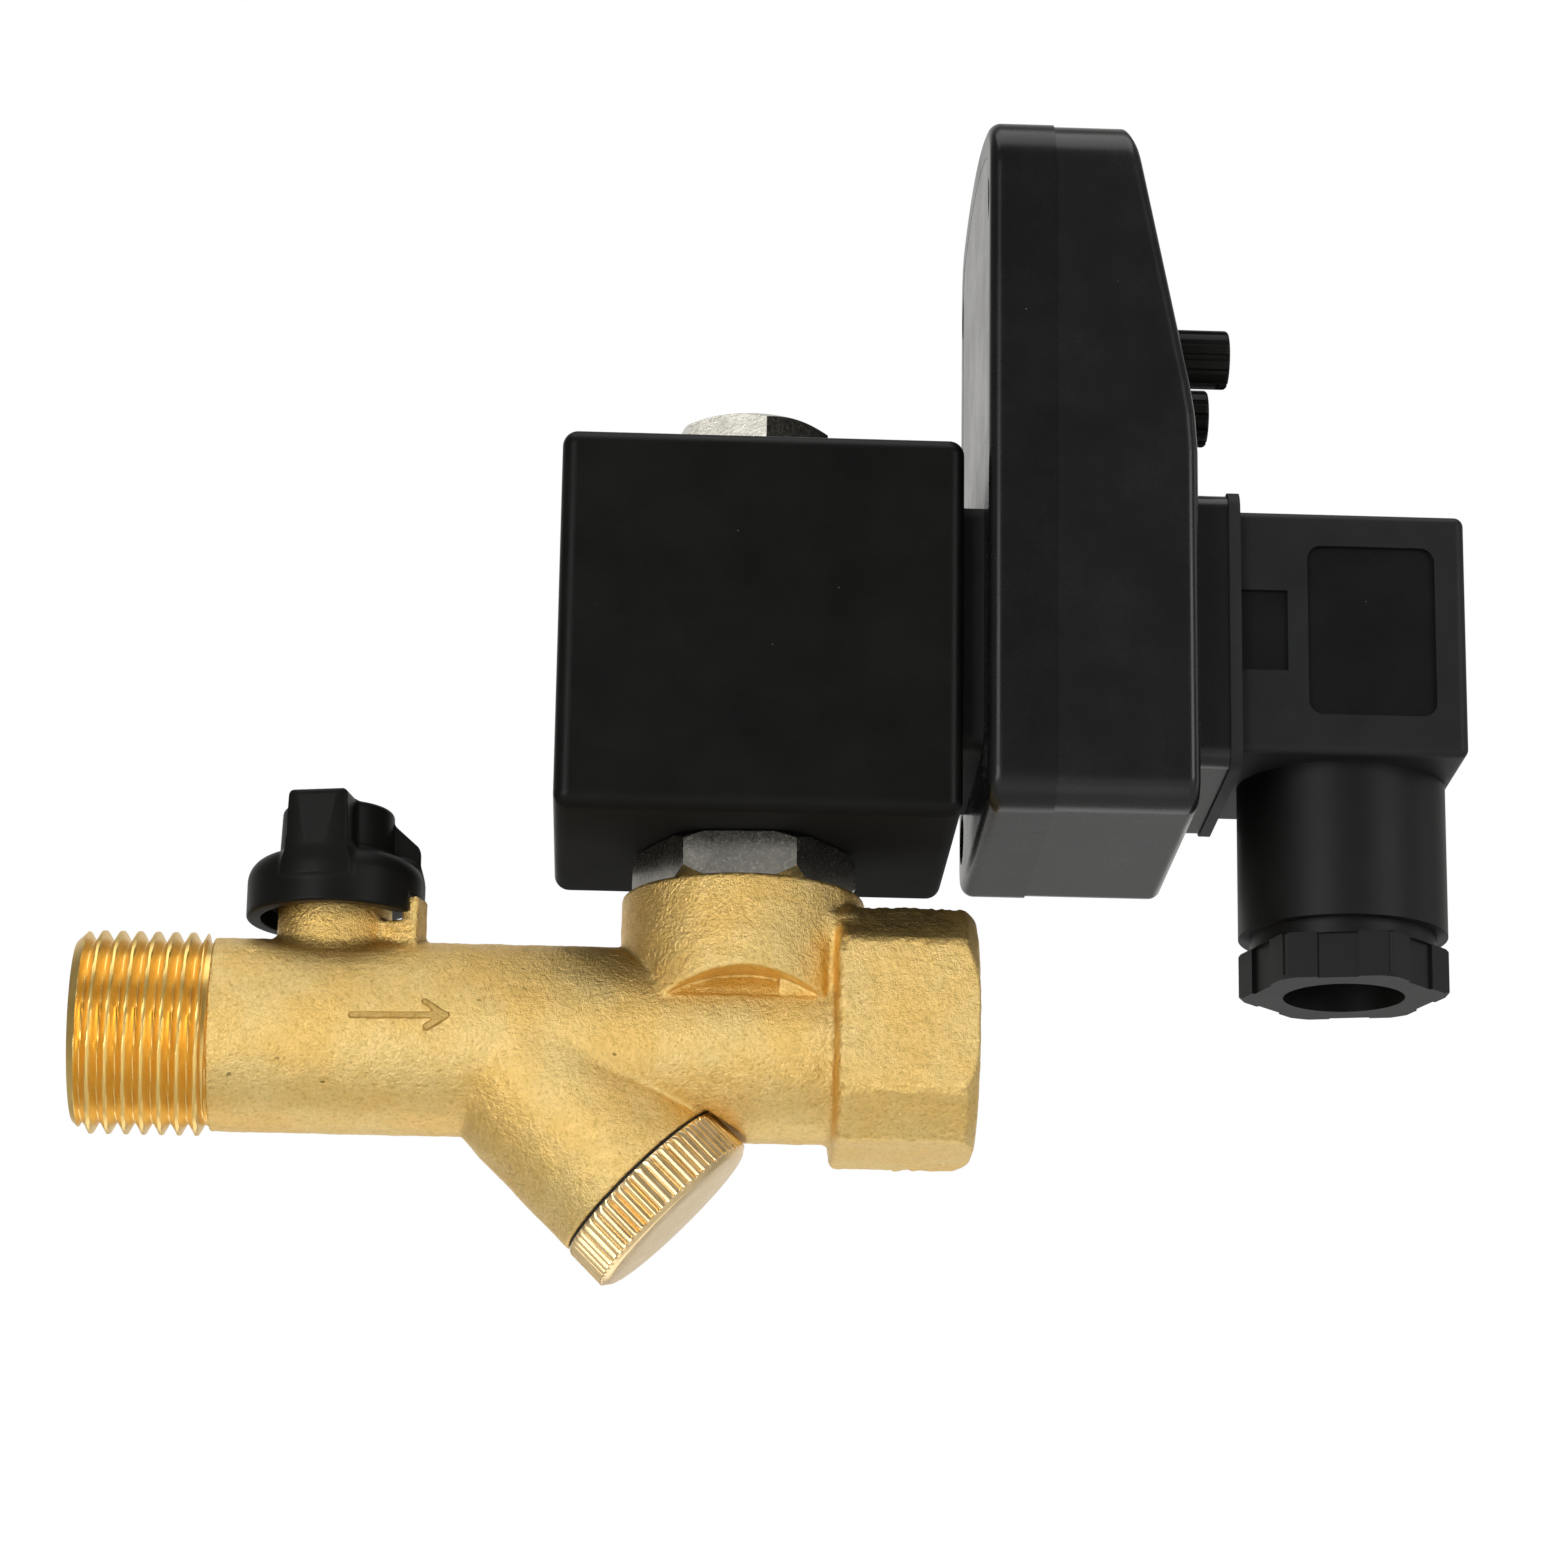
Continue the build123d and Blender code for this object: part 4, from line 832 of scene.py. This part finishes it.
scene.view_settings.view_transform = "Standard"
scene.view_settings.look = "None"
scene.view_settings.exposure = 0.0
scene.view_settings.gamma = 1.0

world = bpy.data.worlds.new("studio")
scene.world = world
world.use_nodes = True
nt = world.node_tree
nt.nodes.clear()
out = nt.nodes.new("ShaderNodeOutputWorld")
bg_cam, bg_env = nt.nodes.new("ShaderNodeBackground"), nt.nodes.new("ShaderNodeBackground")
lp, mixs = nt.nodes.new("ShaderNodeLightPath"), nt.nodes.new("ShaderNodeMixShader")
bg_cam.inputs["Color"].default_value = (1, 1, 1, 1)
bg_cam.inputs["Strength"].default_value = 1.0
bg_env.inputs["Color"].default_value = (1.0, 0.99, 0.97, 1)
# the room is dim in front and at the sides, and bright behind the object
wc, wx, wr = nt.nodes.new("ShaderNodeTexCoord"), nt.nodes.new("ShaderNodeSeparateXYZ"), nt.nodes.new("ShaderNodeMapRange")
wr.interpolation_type = "SMOOTHSTEP"
wr.inputs["From Min"].default_value, wr.inputs["From Max"].default_value = 0.40, 0.92
wr.inputs["To Min"].default_value, wr.inputs["To Max"].default_value = 0.20, 0.86
nt.links.new(wc.outputs["Generated"], wx.inputs[0])
nt.links.new(wx.outputs["Y"], wr.inputs["Value"])
nt.links.new(wr.outputs[0], bg_env.inputs["Strength"])
nt.links.new(lp.outputs["Is Camera Ray"], mixs.inputs["Fac"])
nt.links.new(bg_env.outputs[0], mixs.inputs[1])
nt.links.new(bg_cam.outputs[0], mixs.inputs[2])
nt.links.new(mixs.outputs[0], out.inputs["Surface"])

CENTRE = Vector((0.07, 0.0, 0.03))


def softbox(name, az, el, dist, sx, sy, radiance, colour=(1, 1, 1)):
    """az 0 is the camera's side, positive to the right; radiance is what the lamp's face shows."""
    a, e = math.radians(az), math.radians(el)
    d = Vector((math.sin(a) * math.cos(e), -math.cos(a) * math.cos(e), math.sin(e)))
    data = bpy.data.lights.new(name, "AREA")
    data.shape = "RECTANGLE"
    data.size, data.size_y = sx, sy
    data.energy = radiance * math.pi * sx * sy
    data.color = colour
    o = bpy.data.objects.new(name, data)
    scene.collection.objects.link(o)
    o.location = CENTRE + d * dist
    o.rotation_mode = "QUATERNION"
    o.rotation_quaternion = (-d).to_track_quat("-Z", "Y")
    o.visible_camera = False
    return o


softbox("key_left", -31, -1, 1.3, 0.50, 1.00, 4.7)
softbox("strip_left", -44, -22, 1.2, 0.20, 0.42, 9.0)
softbox("key_right", 44, 6, 1.4, 0.50, 0.80, 4.0)
softbox("edge_right", 92, 4, 1.2, 0.45, 0.80, 1.0)
softbox("over", 0, 80, 1.3, 1.6, 1.0, 1.7)
softbox("fill_low", -5, -52, 0.42, 0.35, 0.2, 0.34)
softbox("back_low", 178, -43, 0.46, 0.7, 0.22, 1.0)

# floor
bm = bmesh.new()
bmesh.ops.create_circle(bm, cap_ends=True, cap_tris=False, segments=96, radius=4.0)
me = bpy.data.meshes.new("floor")
bm.to_mesh(me)
bm.free()
floor = bpy.data.objects.new("floor", me)
scene.collection.objects.link(floor)
floor.location = (0.07, 0.0, -0.36)
t = Tree("floor_paper")
fn = t.noise(0.02, 3.0, 0.6)
t.set(color=t.mix(fn, (0.78, 0.78, 0.775), (0.82, 0.82, 0.815)), rough=0.85, spec=0.2)
me.materials.append(t.mat)
